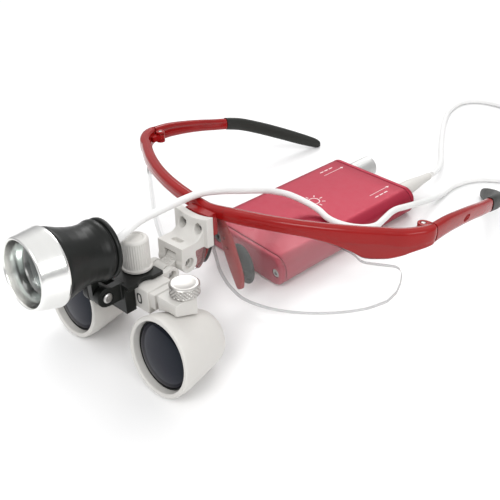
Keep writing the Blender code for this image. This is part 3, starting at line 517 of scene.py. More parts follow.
def superellipse(centre, across, up, width, height, power=2.8, count=32):
    ring = []
    for i in range(count):
        angle = 2 * pi * (i + 0.5) / count
        c = cos(angle)
        s = sin(angle)
        u = width / 2 * abs(c) ** (2 / power) * (1 if c > 0 else -1)
        v = height / 2 * abs(s) ** (2 / power) * (1 if s > 0 else -1)
        ring.append(Vector(centre) + Vector(across) * u + Vector(up) * v)
    return ring


def spline(rows, at):
    """A Catmull-Rom curve through rows of numbers, read at a place from 0 to the last row."""
    last = len(rows) - 1
    i = min(int(at), last - 1)
    t = at - i
    p0, p1, p2, p3 = (rows[min(max(k, 0), last)] for k in (i - 1, i, i + 1, i + 2))
    return [
        0.5 * (2 * b + (c - a) * t + (2 * a - 5 * b + 4 * c - d) * t ** 2
               + (3 * b - a - 3 * c + d) * t ** 3)
        for a, b, c, d in zip(p0, p1, p2, p3)
    ]


def spline_rows(rows, per_span):
    return [spline(rows, i / per_span) for i in range((len(rows) - 1) * per_span + 1)]


def looked_up(table, x):
    """A smooth reading of a table of rows that start with x."""
    x = min(max(x, table[0][0]), table[-1][0])
    i = max(k for k in range(len(table) - 1) if table[k][0] <= x)
    return spline(table, i + (x - table[i][0]) / (table[i + 1][0] - table[i][0]))[1:]


# ---------------------------------------------------------------- pieces

def raw_object(name, shape, place=Matrix()):
    points, faces = shape
    data = bpy.data.meshes.new(name)
    data.from_pydata([Vector(p) * MM for p in points], [], faces)
    mesh = bmesh.new()
    mesh.from_mesh(data)
    bmesh.ops.recalc_face_normals(mesh, faces=mesh.faces)
    mesh.to_mesh(data)
    mesh.free()
    made = bpy.data.objects.new(name, data)
    bpy.context.scene.collection.objects.link(made)
    made.matrix_world = place
    return made


def bake(made):
    """The object's modifiers become its mesh."""
    bpy.context.view_layer.update()
    graph = bpy.context.evaluated_depsgraph_get()
    data = bpy.data.meshes.new_from_object(made.evaluated_get(graph))
    made.modifiers.clear()
    made.data = data


def carve(made, cutters):
    """Takes the cutters out of an object, which are shapes in its own space."""
    blade = raw_object("blade", merged(*cutters), made.matrix_world.copy())
    boolean = made.modifiers.new("carve", "BOOLEAN")
    boolean.operation = "DIFFERENCE"
    boolean.solver = "EXACT"
    boolean.use_self = True
    boolean.object = blade
    bake(made)
    bpy.data.objects.remove(blade)


def finish(made, material, body, nodes=(), sharp=35):
    """Places a piece, gives it its material and body, and hides the CAD nodes that it stands for."""
    if material not in OWN_AXIS:
        made.data.transform(made.matrix_world)
        made.matrix_world = Matrix()
    made.data.materials.clear()
    for name in ([material] if isinstance(material, str) else material):
        made.data.materials.append(MATERIALS[name])
    made.data.shade_smooth()
    made.data.set_sharp_from_angle(angle=radians(sharp))
    if body:
        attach(made, body)
    if nodes:
        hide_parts(*nodes)
    return made


def piece(name, shape, place, material, body, nodes=(), cutters=(), sharp=35):
    made = raw_object(name, shape, place)
    if cutters:
        carve(made, cutters)
    return finish(made, material, body, nodes, sharp)


def moulding(name, solids, cutters, place, material, body, nodes, voxel=0.25, rounds=8, keep=0.5):
    """Solids fused into one moulding, the cutters taken out, and every edge and inner corner rounded."""
    made = raw_object(name, merged(*solids), place)
    if cutters:
        carve(made, cutters)
    fuse = made.modifiers.new("fuse", "REMESH")
    fuse.mode = "VOXEL"
    fuse.voxel_size = voxel * MM
    soften = made.modifiers.new("soften", "SMOOTH")
    soften.factor = 0.5
    soften.iterations = rounds
    thin = made.modifiers.new("thin", "DECIMATE")
    thin.ratio = keep
    bake(made)
    return finish(made, material, body, nodes, sharp=60)


# ---------------------------------------------------------------- cords

def tube(line, radius, sides=14):
    """A round tube along a line of points, with frames that don't twist."""
    rings = []
    normal = Vector((0, 0, 1))
    for i, point in enumerate(line):
        ahead = (line[min(i + 1, len(line) - 1)] - line[max(i - 1, 0)]).normalized()
        normal = (normal - ahead * normal.dot(ahead)).normalized()
        side = ahead.cross(normal)
        rings.append([
            point + (normal * cos(2 * pi * k / sides) + side * sin(2 * pi * k / sides)) * radius
            for k in range(sides)
        ])
    return skin(rings)


def stretch(line, start, end):
    """The part of a line between two distances along it."""
    out = []
    done = 0.0
    for a, b in zip(line, line[1:]):
        length = (b - a).length
        for place in (start, end):
            if done <= place < done + length:
                out.append(a.lerp(b, (place - done) / length))
        if start < done + length < end:
            out.append(b)
        done += length
    return out


def ease(t):
    t = min(max(t, 0.0), 1.0)
    return t * t * (3 - 2 * t)


def coil_points():
    """The turns of the coil, each in its own place in the bundle, in metres on the table."""
    p = STRAND_PITCH
    places = [(p / 2, -0.866 * p), (-p / 2, -0.866 * p), (-p, 0), (-p / 2, 0.866 * p),
              (p / 2, 0.866 * p), (0, 0), (p, 0)]
    first = Vector((LEAD_ROUTE[-1][0] - COIL_CENTRE[0], LEAD_ROUTE[-1][1] - COIL_CENTRE[1]))
    last = Vector((RETURN_ROUTE[0][0] - COIL_CENTRE[0], RETURN_ROUTE[0][1] - COIL_CENTRE[1]))
    start = first.angle_signed(Vector((1, 0)))
    sweep = 2 * pi * COIL_TURNS + (last.angle_signed(Vector((1, 0))) - start)
    steps = round(sweep / (2 * pi) * COIL_STEPS)
    points = []
    for i in range(1, steps):
        turns = sweep * i / steps / (2 * pi)
        turn = min(int(turns), len(places) - 1)
        shift = ease((turns - turn - 0.82) / 0.18) if turn < len(places) - 1 else 0
        out, up = places[turn]
        next_out, next_up = places[min(turn + 1, len(places) - 1)]
        radius = COIL_RADIUS + out + (next_out - out) * shift
        height = COIL_MIDDLE_Z + up + (next_up - up) * shift
        entering = 1 - ease(turns / 0.12)
        leaving = 1 - ease((sweep / (2 * pi) - turns) / 0.14)
        radius += (first.length - radius) * entering + (last.length - radius) * leaving
        height += (RETURN_ROUTE[0][2] - height) * leaving
        angle = start + 2 * pi * turns
        points.append((COIL_CENTRE[0] + radius * cos(angle), COIL_CENTRE[1] + radius * sin(angle),
                       height))
    return points


def cord_piece(name, line, nodes):
    made = raw_object(name, tube([p / MM for p in line], CORD_DIAMETER / 2 / MM))
    finish(made, "white_cord", None, nodes)
    return made


def make_cord():
    route = LEAD_ROUTE + coil_points() + RETURN_ROUTE
    line = [TABLE @ Vector(p) for p in spline_rows(route, 5)]
    total = sum((b - a).length for a, b in zip(line, line[1:]))
    near = cord_piece("lamp_lead_start", stretch(line, 0.0, LEAD_SPLITS[0]), ["cord_lead_1"])
    middle = cord_piece("lamp_lead_middle", stretch(line, *LEAD_SPLITS), ["cord_lead_2"])
    main_line = stretch(line, LEAD_SPLITS[1], total - 1e-6)
    main = cord_piece("lamp_cord", main_line, ["cord_lead_3", "cord_coil", "cord_return"])
    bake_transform(near)
    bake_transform(middle)
    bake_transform(main)
    return near, middle, main, main_line, total


def make_tie():
    """A strap round the bundle of turns."""
    rings = []
    wide = 7.0
    for k in range(9):
        across = -wide / 2 + wide * k / 8
        angle = STRAP_ANGLE + across / (COIL_RADIUS / MM)
        squeeze = 1 - 0.04 * abs(across / wide * 2) ** 2
        ring = []
        for i in range(40):
            turn = 2 * pi * i / 40
            out = COIL_RADIUS / MM + 4.9 * squeeze * cos(turn)
            up = COIL_MIDDLE_Z / MM + 4.7 * squeeze * sin(turn)
            place = Vector((out * cos(angle), out * sin(angle), max(up, 0.05)))
            ring.append(place + Vector((COIL_CENTRE[0] / MM, COIL_CENTRE[1] / MM, 0)))
        rings.append(ring)
    inner = []
    for ring in reversed(rings):
        middle = sum(ring, Vector()) / len(ring)
        inner.append([p.lerp(middle, 0.06) for p in ring])
    shape = skin(rings + inner, closed=True)
    return piece("cord_strap", shape, TABLE, "cord_strap", "frame")


# ---------------------------------------------------------------- glasses

BROW_EDGES = [  # distance from the nose, bottom and top of the bar
    (0, -4.0, 0.2), (6, -3.9, 0.8), (14, -3.5, 1.8), (25, -2.9, 2.4), (35, -2.6, 2.7), (44, -3.0, 2.9),
    (52, -4.8, 3.0), (57, -7.6, 3.0), (61, -10.3, 3.0), (68, -10.0, 3.1), (73, -7.8, 3.3),
    (76, -5.4, 3.4), (79, -4.4, 3.4),
]
BROW_CREASE = -3.0  # below this the outer end of the bar steps back to a lower facet


def bow(x):
    return BRIDGE_Y + x * x / (2 * FACE_RADIUS)


def brow_ring(x, depth):
    """Half of the bar's section at a distance from the nose, as (back, up) points, front first."""
    bottom, top = looked_up(BROW_EDGES, x)
    height = top - bottom
    flange = ease((-bottom - 3.6) / 3.5)
    crease = BROW_CREASE * flange + (bottom + height * 0.35) * (1 - flange)
    step = 0.6 * flange
    lean = 0.3 * flange
    wing = ease((x - 9.2) / 1.2)
    front = -depth / 2 * (0.84 + 0.16 * wing)
    back = depth / 2
    r = min(1.7, height * 0.38)
    points = []
    for k in range(7):
        angle = pi / 2 * k / 6
        points.append((back - r + r * cos(angle), top - r + r * sin(angle)))
    for k in range(1, 4):
        points.append((back - r + (front + r - back + r) * k / 4, top + 0.25 * sin(pi * k / 4)))
    for k in range(7):
        angle = pi / 2 + pi / 2 * k / 6
        points.append((front + r + r * cos(angle), top - r + r * sin(angle)))
    upper = top - r
    for k in range(1, 5):
        t = k / 5
        points.append((front - 0.12 * sin(pi * t), upper + (crease + 0.25 - upper) * t))
    points.append((front + 0.02, crease + 0.25))
    points.append((front + 0.1 * flange, crease + 0.08))
    points.append((front + step, crease - 0.1))
    lower_r = min(1.3, (crease - bottom) * 0.6)
    for k in range(1, 5):
        t = k / 5
        v = crease - 0.1 + (bottom + lower_r - crease + 0.1) * t
        points.append((front + step + lean * (crease - v), v))
    foot = front + step + lean * (crease - bottom - lower_r)
    for k in range(6):
        angle = pi + pi / 2 * k / 5
        points.append((foot + lower_r + lower_r * cos(angle), bottom + lower_r + lower_r * sin(angle)))
    for k in range(1, 3):
        points.append((foot + lower_r + (back - r - foot - lower_r) * k / 3, bottom - 0.1))
    for k in range(7):
        angle = -pi / 2 + pi / 2 * k / 6
        points.append((back - r + r * cos(angle), bottom + r + r * sin(angle)))
    return points


def make_front():
    half = [(x, bow(x), BROW_DEPTH) for x in (0, 3, 6, 8.4, 9.2, 9.8, 10.4, 12, 16, 20, 25, 30, 35, 40,
                                              44, 48, 51, 54, 57, 60, 63, BOW_END_X)]
    half += [(70.6, 30.4, 4.8), (74.0, 33.6, 4.8), (76.4, 37.0, 4.8), (77.8, 40.2, 4.4),
             (78.1, 41.9, 3.4)]
    fine = spline_rows(half, 4)
    path = [(-x, y, depth) for x, y, depth in reversed(fine[1:])] + fine
    rings = []
    for i, (x, y, depth) in enumerate(path):
        before = path[max(i - 1, 0)]
        after = path[min(i + 1, len(path) - 1)]
        along = Vector((after[0] - before[0], after[1] - before[1], 0)).normalized()
        back = Vector((-along.y, along.x, 0))
        section = brow_ring(abs(x), depth)
        rings.append([Vector((x, y, 0)) + back * u + Vector((0, 0, v)) for u, v in section])
    shapes = [skin(rings)]
    leaf = (HINGE[2] - HINGE_LEAF / 2, HINGE[2] + HINGE_LEAF / 2)
    cutters = []
    for side in (1, -1):
        eye = rod(on_side(side, HINGE), HINGE_EYE_RADIUS, HINGE_LEAF, "Z", 0.25)
        neck = block(sorted((side * (HINGE[0] - 1.6), side * (HINGE[0] + 1.9))),
                     (HINGE[1] - 6.0, HINGE[1]), leaf)
        shapes += [eye, neck]
        cutters.append(rod(on_side(side, HINGE), 1.1, 12, "Z"))
        cutters.append(rod((side * SCREW_X, -0.2, SCREW_Z), 1.1, 5, "Y"))
    shapes.append(block((-6.5, 6.5), (-1.9, 2.6), (-10.5, -1.0)))
    made = raw_object("brow_bar", merged(*shapes), GLASSES)
    carve(made, cutters)
    finish(made, "frame_red", "frame", ["front_frame"], sharp=38)


LENS_SHELL = 1.8
LENS_BEVEL = 0.42
LENS_EDGE = [(2.4, -20.5), (5.0, -28.6), (9.2, -34.2), (16.5, -38.6), (27.7, -39.6), (37.8, -38.9),
             (47.1, -37.4), (55.6, -35.4), (63.5, -32.6), (69.6, -28.6), (72.2, -24.0), (72.8, -20.0)]


def lens_top(x):
    """Top of the lens: up against the bar, then a level shoulder with a round corner."""
    under_bar = looked_up(BROW_EDGES, x)[0] - GAP
    level = -11.7 - 0.1 * max(0.0, x - 61.0)
    blend = ease((x - 58.0) / 4.0)
    top = under_bar * (1 - blend) + min(level, under_bar) * blend
    corner = max(0.0, x - 69.8)
    return top - (3.0 - (max(0.0, 9.0 - corner * corner)) ** 0.5)


def make_lens(side, label):
    columns = 84
    rows = 18
    first = LENS_EDGE[0][0]
    last = LENS_EDGE[-1][0]
    points = []
    for i in range(columns + 1):
        x = first + (last - first) * i / columns
        top = lens_top(x)
        bottom = min(looked_up(LENS_EDGE, x)[0], top - 0.6)
        for j in range(rows + 1):
            points.append((side * x, bow(x), bottom + (top - bottom) * j / rows))
    faces = []
    for i in range(columns):
        for j in range(rows):
            a = i * (rows + 1) + j
            faces.append((a, a + rows + 1, a + rows + 2, a + 1))
    made = raw_object("clear_lens_" + label, (points, faces), GLASSES)
    shell = made.modifiers.new("thickness", "SOLIDIFY")
    shell.thickness = LENS_SHELL * MM
    shell.offset = 0
    shell.material_offset_rim = 1
    rim = made.modifiers.new("rim", "BEVEL")
    rim.width = LENS_BEVEL * MM
    rim.segments = 2
    rim.angle_limit = radians(60)
    rim.material = 2
    # the rim's lens_edge and the bevel's lens_line carry painted shade, a dark outline along the lens's
    # edge
    for name in ("clear_lens", "lens_edge", "lens_line"):
        made.data.materials.append(MATERIALS[name])
    bake(made)
    made.data.shade_smooth()
    made.data.set_sharp_from_angle(angle=radians(40))
    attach(made, "frame")
    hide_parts("lens_" + label)


def across_rings(stations, count, power):
    """Rings across a path in the x-z plane, for stations of x, y, z, depth and width."""
    rings = []
    for i, (x, y, z, depth, width) in enumerate(stations):
        before = stations[max(i - 1, 0)]
        after = stations[min(i + 1, len(stations) - 1)]
        ahead = Vector((after[0] - before[0], 0, after[2] - before[2])).normalized()
        across = ahead.cross(Vector((0, 1, 0)))
        rings.append(superellipse((x, y, z), (0, 1, 0), across, depth, width, power, count))
    return rings


def make_nose():
    leg = [(13.4, 8.2, -36.6, 1.4, 1.8), (13.1, 8.2, -35.8, 2.5, 3.6), (11.8, 8.3, -31.0, 2.8, 6.2),
           (9.0, 8.3, -24.0, 3.0, 7.0), (6.0, 8.3, -16.0, 3.0, 6.4), (3.0, 8.2, -9.8, 3.0, 4.8),
           (0.0, 8.0, -7.8, 3.0, 3.8)]
    stations = leg + [(-s[0], *s[1:]) for s in reversed(leg[:-1])]
    rings = across_rings(spline_rows(stations, 6), 28, 2.6)
    vents = [rod((side * x, 8.2, z), 0.75, 8, "Y")
             for side in (1, -1) for x, z in ((5.6, -14.6), (7.2, -18.6))]
    piece("nose_bridge", skin(rings), GLASSES, "frame_red", "frame", ["nose_piece"], vents)
    for side, label in SIDES:
        rings = []
        steps = 28
        for i in range(steps + 1):
            t = -cos(pi * i / steps)
            size = max(0.03, (1 - abs(t) ** 2.3) ** 0.5)
            centre = (side * (10.6 - 3.0 * t), 12.6, -27.6 + 8.6 * t)
            rings.append(superellipse(centre, (side * 0.8, 0.6, 0), (-side * 0.6, 0.8, 0),
                                      8.6 * size, 3.6 * size, 2.3, 32))
        piece("nose_rest_" + label, skin(rings), GLASSES, "pad_rubber", "frame",
              ["nose_pad_" + label])


ARM = [(77.9, 42.6, -0.6, 4.0, 7.8), (78.2, 52.0, -0.9, 3.9, 7.4), (78.3, 63.0, -2.4, 3.8, 6.8),
       (78.2, 74.0, -4.4, 3.6, 6.4), (78.0, 84.0, -6.6, 3.6, 6.2), (77.5, 93.0, -8.4, 3.6, 6.2)]
TIP = [(77.5, 93.4, -8.4, 4.2, 6.8), (76.2, 104.5, -11.4, 4.6, 7.2), (72.2, 117.0, -16.2, 4.8, 7.4),
       (66.2, 128.6, -21.2, 4.8, 7.4), (59.8, 139.0, -25.9, 4.6, 7.0), (54.3, 147.3, -29.6, 3.8, 5.6),
       (52.6, 149.8, -30.6, 2.2, 3.0)]


def swept(stations, per_span, power, count=32, groove=0.0):
    """A bar through stations of x, y, middle z, width and height, with a groove along its inner face."""
    rows = spline_rows(stations, per_span)
    rings = []
    for i, (x, y, z, width, height) in enumerate(rows):
        before = rows[max(i - 1, 0)]
        after = rows[min(i + 1, len(rows) - 1)]
        ahead = Vector((after[0] - before[0], after[1] - before[1], 0)).normalized()
        across = Vector((-ahead.y, ahead.x, 0))
        ring = superellipse((x, y, z), across, (0, 0, 1), width, height, power, count)
        if groove:
            end = min(i, len(rows) - 1 - i) / len(rows)
            depth = groove * ease(end / 0.12)
            for k, point in enumerate(ring):
                if (point - Vector((x, y, z))).dot(across) > 0:
                    lift = (point.z - z) / height
                    ring[k] = point - across * depth * ease((0.24 - abs(lift)) / 0.1)
        rings.append(ring)
    return skin(rings)


def make_temple(side, label):
    arm = swept(ARM, 8, 2.9, 48, groove=0.5)
    tip = swept(TIP, 8, 2.5, 36)
    if side < 0:
        arm = mirrored(arm)
        tip = mirrored(tip)
    shapes = [arm]
    for step in (1, -1):
        z = HINGE[2] + step * (HINGE_LEAF / 2 + GAP + TEMPLE_EYE / 2)
        shapes.append(rod((side * HINGE[0], HINGE[1], z), HINGE_EYE_RADIUS, TEMPLE_EYE, "Z", 0.25))
        shapes.append(block(sorted((side * HINGE[0], side * (HINGE[0] + 4.0))),
                            (HINGE[1] + 0.2, HINGE[1] + HINGE_EYE_RADIUS),
                            (z - TEMPLE_EYE / 2, z + TEMPLE_EYE / 2)))
    eyelet = Matrix.Translation((side * 80.2, 66.0, -2.9)) @ Matrix.Diagonal((1.3, 3.0, 1.5, 1))
    dimple = moved(turned(softened([(0, -1), (0.7, -0.7), (1, 0), (0.7, 0.7), (0, 1)], 0.3), steps=40),
                   eyelet)
    cutters = [rod(on_side(side, HINGE), 1.1, 14, "Z"), dimple]
    piece("arm_" + label, merged(*shapes), GLASSES, "frame_red", label + "_temple",
          ["temple_" + label], cutters, sharp=40)
    piece("arm_sleeve_" + label, tip, GLASSES, "black_rubber", label + "_temple",
          ["temple_tip_" + label])
    length = HINGE_LEAF + 2 * TEMPLE_EYE + 0.7
    pin = rod((0, 0, 0), 0.9, length, "Z", 0.3)
    piece("hinge_rivet_" + label, pin, space(GLASSES, on_side(side, HINGE)), "steel",
          "frame", ["hinge_pin_" + label])


# ---------------------------------------------------------------- mount

def arc(centre, radius, start, end, steps=10):
    """Points of an arc in (y, z), its angles in degrees."""
    out = []
    for i in range(steps + 1):
        angle = radians(start + (end - start) * i / steps)
        out.append((centre[0] + radius * cos(angle), centre[1] + radius * sin(angle)))
    return out


def make_bracket():
    plate = block((-9.3, 9.3), (-5.6, -2.2), (-12.8, -0.4))
    arm = prism([(-3.0, -12.8), (-3.0, -4.0), (-5.6, -4.0)] + arc((-11.0, -3.8), 5.4, 0, -90)
                + [(-17.0, -9.2), (-17.0, -12.8)], (-7.0, 7.0))
    solids = [plate, arm]
    for side in (1, -1):
        ends = sorted((side * 3.3, side * 7.0))
        solids.append(block(ends, (FLIP_AXIS[0] - 3.6, FLIP_AXIS[0] + 3.6), (FLIP_AXIS[1], -12.0)))
        solids.append(rod((side * 5.15, *FLIP_AXIS), 4.0, 3.7, "X"))
    cutters = [
        rod((0, *FLIP_AXIS), KNUCKLE_BORE, 20, "X"),
        block((-3.3, 3.3), (-20.0, -9.0), (-16.0, -12.1)),
        block((-2.6, 2.6), (-13.9, -11.5), (-11.0, -8.0)),
    ]
    across = [-9.6 + 1.2 * k for k in range(17)]
    bridge_curve = [(x, -0.2 - 1.5 * max(0.0, 1 - (x / 9.6) ** 2)) for x in across]
    rings = [[(x, y, z) for x, z in bridge_curve + [(9.6, 1.0), (-9.6, 1.0)]] for y in (-6.2, -1.8)]
    cutters.append(skin(rings))
    for side in (1, -1):
        cutters.append(rod((side * SCREW_X, -4.0, SCREW_Z), 1.1, 10, "Y"))
        cutters.append(rod((side * SCREW_X, -5.9, SCREW_Z), 2.05, 4.8, "Y"))
        cutters.append(rod((side * 7.2, *FLIP_AXIS), 2.2, 3.6, "X"))
    moulding("bracket", solids, cutters, GLASSES, "white_plastic", "frame", ["mount_bracket"],
             voxel=0.2, rounds=8)
    for side, label in SIDES:
        head = turned(softened([(0, 0), (1.2, 0), (1.6, -0.3), (1.6, -0.9), (0.8, -0.9), (0.8, -5.0),
                                (0, -5.0)], 0.15), steps=40)
        cross = [block((-1.1, 1.1), (-0.22, 0.22), (-0.6, 0.3)),
                 block((-0.22, 0.22), (-1.1, 1.1), (-0.6, 0.3))]
        piece("plate_screw_" + label, head, space(GLASSES, (side * SCREW_X, -4.3, SCREW_Z), pi / 2),
              "steel", "frame", ["bracket_screw_" + label], cross)


def pin_piece(name, centre, radius, length, body, node, slotted=True):
    """A cross pin with softened rims and a driver slot in its left end."""
    pin = turned(softened([(0, -length / 2), (radius, -length / 2), (radius, length / 2),
                           (0, length / 2)], 0.2), steps=32)
    top = length / 2
    cutters = [block((-radius, radius), (-0.2, 0.2), (top - 0.5, top + 0.5))] if slotted else []
    place = space(GLASSES, centre) @ AXES["X"]
    piece(name, pin, place, "steel", body, [node], cutters)


def make_link():
    run = (TILT_AXIS[0] - FLIP_AXIS[0], TILT_AXIS[1] - FLIP_AXIS[1])
    along = Vector(run).normalized()
    square = Vector((-along.y, along.x))
    if square.y < 0:
        square = -square
    start = Vector(FLIP_AXIS)
    end = Vector(TILT_AXIS)
    web = [start + square * 2.2, end + square * 2.2, end - square * 2.2, start - square * 2.2]
    solids = [rod((0, *FLIP_AXIS), 3.6, 6.0, "X"), rod((0, *TILT_AXIS), 3.4, 6.0, "X"),
              prism([tuple(p) for p in web], (-3.0, 3.0))]
    cutters = [rod((0, *FLIP_AXIS), KNUCKLE_BORE, 12, "X"), rod((0, *TILT_AXIS), KNUCKLE_BORE, 12, "X")]
    for k in (0.34, 0.5, 0.66):
        middle = start.lerp(end, k) + square * 2.25
        cutters.append(block((-2.4, 2.4), (middle.x - 0.3, middle.x + 0.3),
                             (middle.y - 0.35, middle.y + 0.5)))
    moulding("hinge_link", solids, cutters, GLASSES, "white_plastic", "link", ["flip_link"],
             voxel=0.16, rounds=5)
    pin_piece("flip_hinge_pin", (0, *FLIP_AXIS), 1.2, 10.2, "frame", "flip_pin")
    pin_piece("tilt_hinge_pin", (0, *TILT_AXIS), 1.2, 9.0, "bar", "tilt_pin")


def make_crossbar():
    solids = [block((-13.5, 13.5), (-39.7, -28.5), (-23.6, -14.2)),
              block((-26.6, 26.6), (-37.7, -31.2), (-18.7, -15.5)),
              block((-16.0, 16.0), (-38.7, -29.8), (-21.4, -14.9))]
    for side in (1, -1):
        solids.append(block(sorted((side * 3.3, side * 6.0)), (-29.5, TILT_AXIS[0]),
                            (TILT_AXIS[1] - 3.0, TILT_AXIS[1] + 3.0)))
        solids.append(rod((side * 4.65, *TILT_AXIS), 3.4, 2.7, "X"))
    cutters = [rod((0, *TILT_AXIS), KNUCKLE_BORE, 20, "X"), rod((0, CLAMP[1], -16.5), 2.2, 9, "Z")]
    for side in (1, -1):
        cutters.append(rod((side * 6.2, *TILT_AXIS), 1.9, 2.4, "X"))
    moulding("cross_bar", solids, cutters, GLASSES, "white_plastic", "bar", ["crossbar"],
             voxel=0.25, rounds=9, keep=0.4)
    ring = []
    count = 44
    for scale, y in ((1.0, -39.68), (1.0, -39.74), (0.0, -39.74), (0.0, -39.68)):
        row = []
        for i in range(count):
            angle = 2 * pi * i / count
            c = cos(angle)
            s = sin(angle)
            half_width = 0.72 + 0.62 * scale
            half_height = 1.55 + 0.62 * scale
            row.append((8.4 + half_width * abs(c) ** 0.62 * (1 if c > 0 else -1), y,
                        -18.9 + half_height * abs(s) ** 0.62 * (1 if s > 0 else -1)))
        ring.append(row)
    piece("zero_mark", skin(ring, closed=True), GLASSES, "black_ink", "bar")


def make_clamp_knob():
    ribs = 36

    def rib(angle, radius, z):
        inside = ease((z - 1.4) / 0.5) * ease((11.5 - z) / 0.5) if radius > 4.9 else 0
        return radius - 0.16 * inside * (1 + cos(ribs * angle)) / 2

    profile = [(0, 12.1), (3.2, 12.1), (3.4, 12.4), (4.5, 12.4), (5.1, 11.8), (5.2, 11.2), (5.2, 6.0),
               (5.2, 1.8), (5.2, 1.2), (5.8, 1.0), (5.8, 0), (1.8, 0), (1.8, -7.6), (0, -7.6)]
    knob = turned(softened(profile, 0.22), steps=ribs * 6, rib=rib)
    piece("lamp_clamp_knob", knob, space(GLASSES, CLAMP), "white_plastic", "knob", ["clamp_knob"],
          sharp=50)


def make_lamp_clip():
    top = block((-8.8, 8.8), (-44.4, -28.2), (-13.9, -12.2))
    wall = block((-6.4, 6.4), (-44.4, -40.0), (-24.4, -12.6))
    solids = [top, wall]
    for side in (1, -1):
        ends = sorted((side * 1.6, side * 4.6))
        solids.append(block(ends, (LAMP_PIVOT[0], -43.0), (LAMP_PIVOT[1] - 3.8, LAMP_PIVOT[1] + 3.0)))
        solids.append(rod((side * 3.1, *LAMP_PIVOT), 3.8, 3.0, "X"))
    cutters = [rod((0, *LAMP_PIVOT), 1.4, 14, "X"), rod((0, CLAMP[1], -13.0), 2.2, 4, "Z"),
               rod((0, -26.5, -13.0), 4.2, 6, "Z")]
    for side in (1, -1):
        cutters.append(rod((side * 11.6, -36.5, -13.0), 4.4, 6, "Z"))
    moulding("clip", solids, cutters, GLASSES, "black_plastic", "bar", ["lamp_clip"],
             voxel=0.2, rounds=4)
    head = [(0, 5.6), (1.3, 5.6), (1.9, 5.2), (1.9, 4.75), (1.1, 4.75), (1.1, -4.8), (0, -4.8)]
    piece("pivot_screw", turned(softened(head, 0.12), steps=40),
          space(GLASSES, (0, *LAMP_PIVOT)) @ AXES["X"], "steel", "bar", ["lamp_pivot_screw"],
          [block((-1.4, 1.4), (-0.25, 0.25), (5.2, 6.0))])


# ---------------------------------------------------------------- head lamp

LAMP = space(GLASSES, LAMP_FRONT, turn_x=pi / 2 - LAMP_TILT)


def make_lamp():
    bezel = softened([(11.5, 0), (12.2, -0.3), (12.5, -1.2), (13.9, -8.6), (13.8, -9.3), (13.4, -9.5),
                      (10.5, -9.5), (10.5, -6.2), (10.6, -5.6), (11.2, -0.5)], 0.25, closed=True)
    piece("reflector_bezel", turned(bezel, closed=True, steps=128), LAMP, "bright_aluminium", "lamp",
          ["lamp_bezel"])
    dome = [(10.3 * sin(pi / 2 * k / 14), -7.2 + 3.0 * cos(pi / 2 * k / 14)) for k in range(15)]
    lens = dome + [(10.3, -8.2), (0, -8.2)]
    piece("lamp_dome", turned(lens, steps=96), LAMP, "lamp_glass", "lamp", ["lamp_lens"])
    housing = softened([(13.2, -9.8), (13.2, -10.7), (12.8, -11.9), (11.7, -15.0), (10.8, -18.4),
                        (10.3, -21.6), (10.3, -24.2), (10.6, -26.0), (11.0, -26.9), (11.1, -28.2),
                        (10.5, -28.5), (9.0, -28.5), (9.0, -14.0), (11.0, -9.8)], 0.3, closed=True,
                       cuts=3)
    shell = turned(housing, closed=True, steps=112)
    to_lamp = between(GLASSES, LAMP)
    tongue = block((-1.3, 1.3), (LAMP_PIVOT[0] - 3.6, LAMP_PIVOT[0] - 0.6), (LAMP_PIVOT[1], -6.6))
    end = rod((0, *LAMP_PIVOT), 3.6, 2.6, "X")
    bore = moved(rod((0, *LAMP_PIVOT), 1.3, 8, "X"), to_lamp)
    piece("lamp_body", merged(shell, moved(tongue, to_lamp), moved(end, to_lamp)), LAMP, "lamp_black",
          "lamp", ["lamp_housing"], [bore])
    cap = softened([(0, -28.8), (10.0, -28.8), (10.0, -29.5), (10.9, -29.7), (11.1, -30.3),
                    (11.0, -31.1), (10.4, -31.4), (8.2, -31.4), (8.0, -31.2), (0, -31.2)], 0.2)
    piece("lamp_back", turned(cap, steps=96), LAMP, "lamp_black", "lamp", ["lamp_rear_cap"])
    base = softened([(0, -13.9), (3.2, -13.9), (3.5, -14.2), (3.5, -14.6), (8.6, -14.2), (10.2, -8.7),
                     (10.5, -8.7), (8.8, -15.0), (8.4, -20.0), (0, -20.0)], 0.15)
    piece("led_base", turned(base, steps=64), LAMP, "lamp_inside", "lamp", ["led_module"])
    tray = block((-3.2, 3.2), (-3.2, 3.2), (-13.9, -12.4))
    chip = block((-1.1, 1.1), (-1.1, 1.1), (-12.4, -12.2))
    made = piece("led_chip", merged(tray, chip), LAMP, ["led_base", "led_chip"], "lamp")
    for face in made.data.polygons[6:]:
        face.material_index = 1
    start = -31.7
    gland = softened([(0, start), (2.8, start), (2.8, start - 1.4), (2.3, start - 1.8),
                      (2.3, start - 2.3), (2.6, start - 2.6), (2.2, start - 3.2), (2.2, start - 3.6),
                      (2.0, start - 4.6), (0, start - 4.6)], 0.2)
    piece("lead_gland", turned(gland, steps=40), LAMP, "black_rubber", "lamp", ["cable_gland"])


# ---------------------------------------------------------------- carriages and barrels

def barrel_space(side):
    return space(GLASSES, on_side(side, BARREL_FRONT), turn_x=pi / 2 - BARREL_TILT)


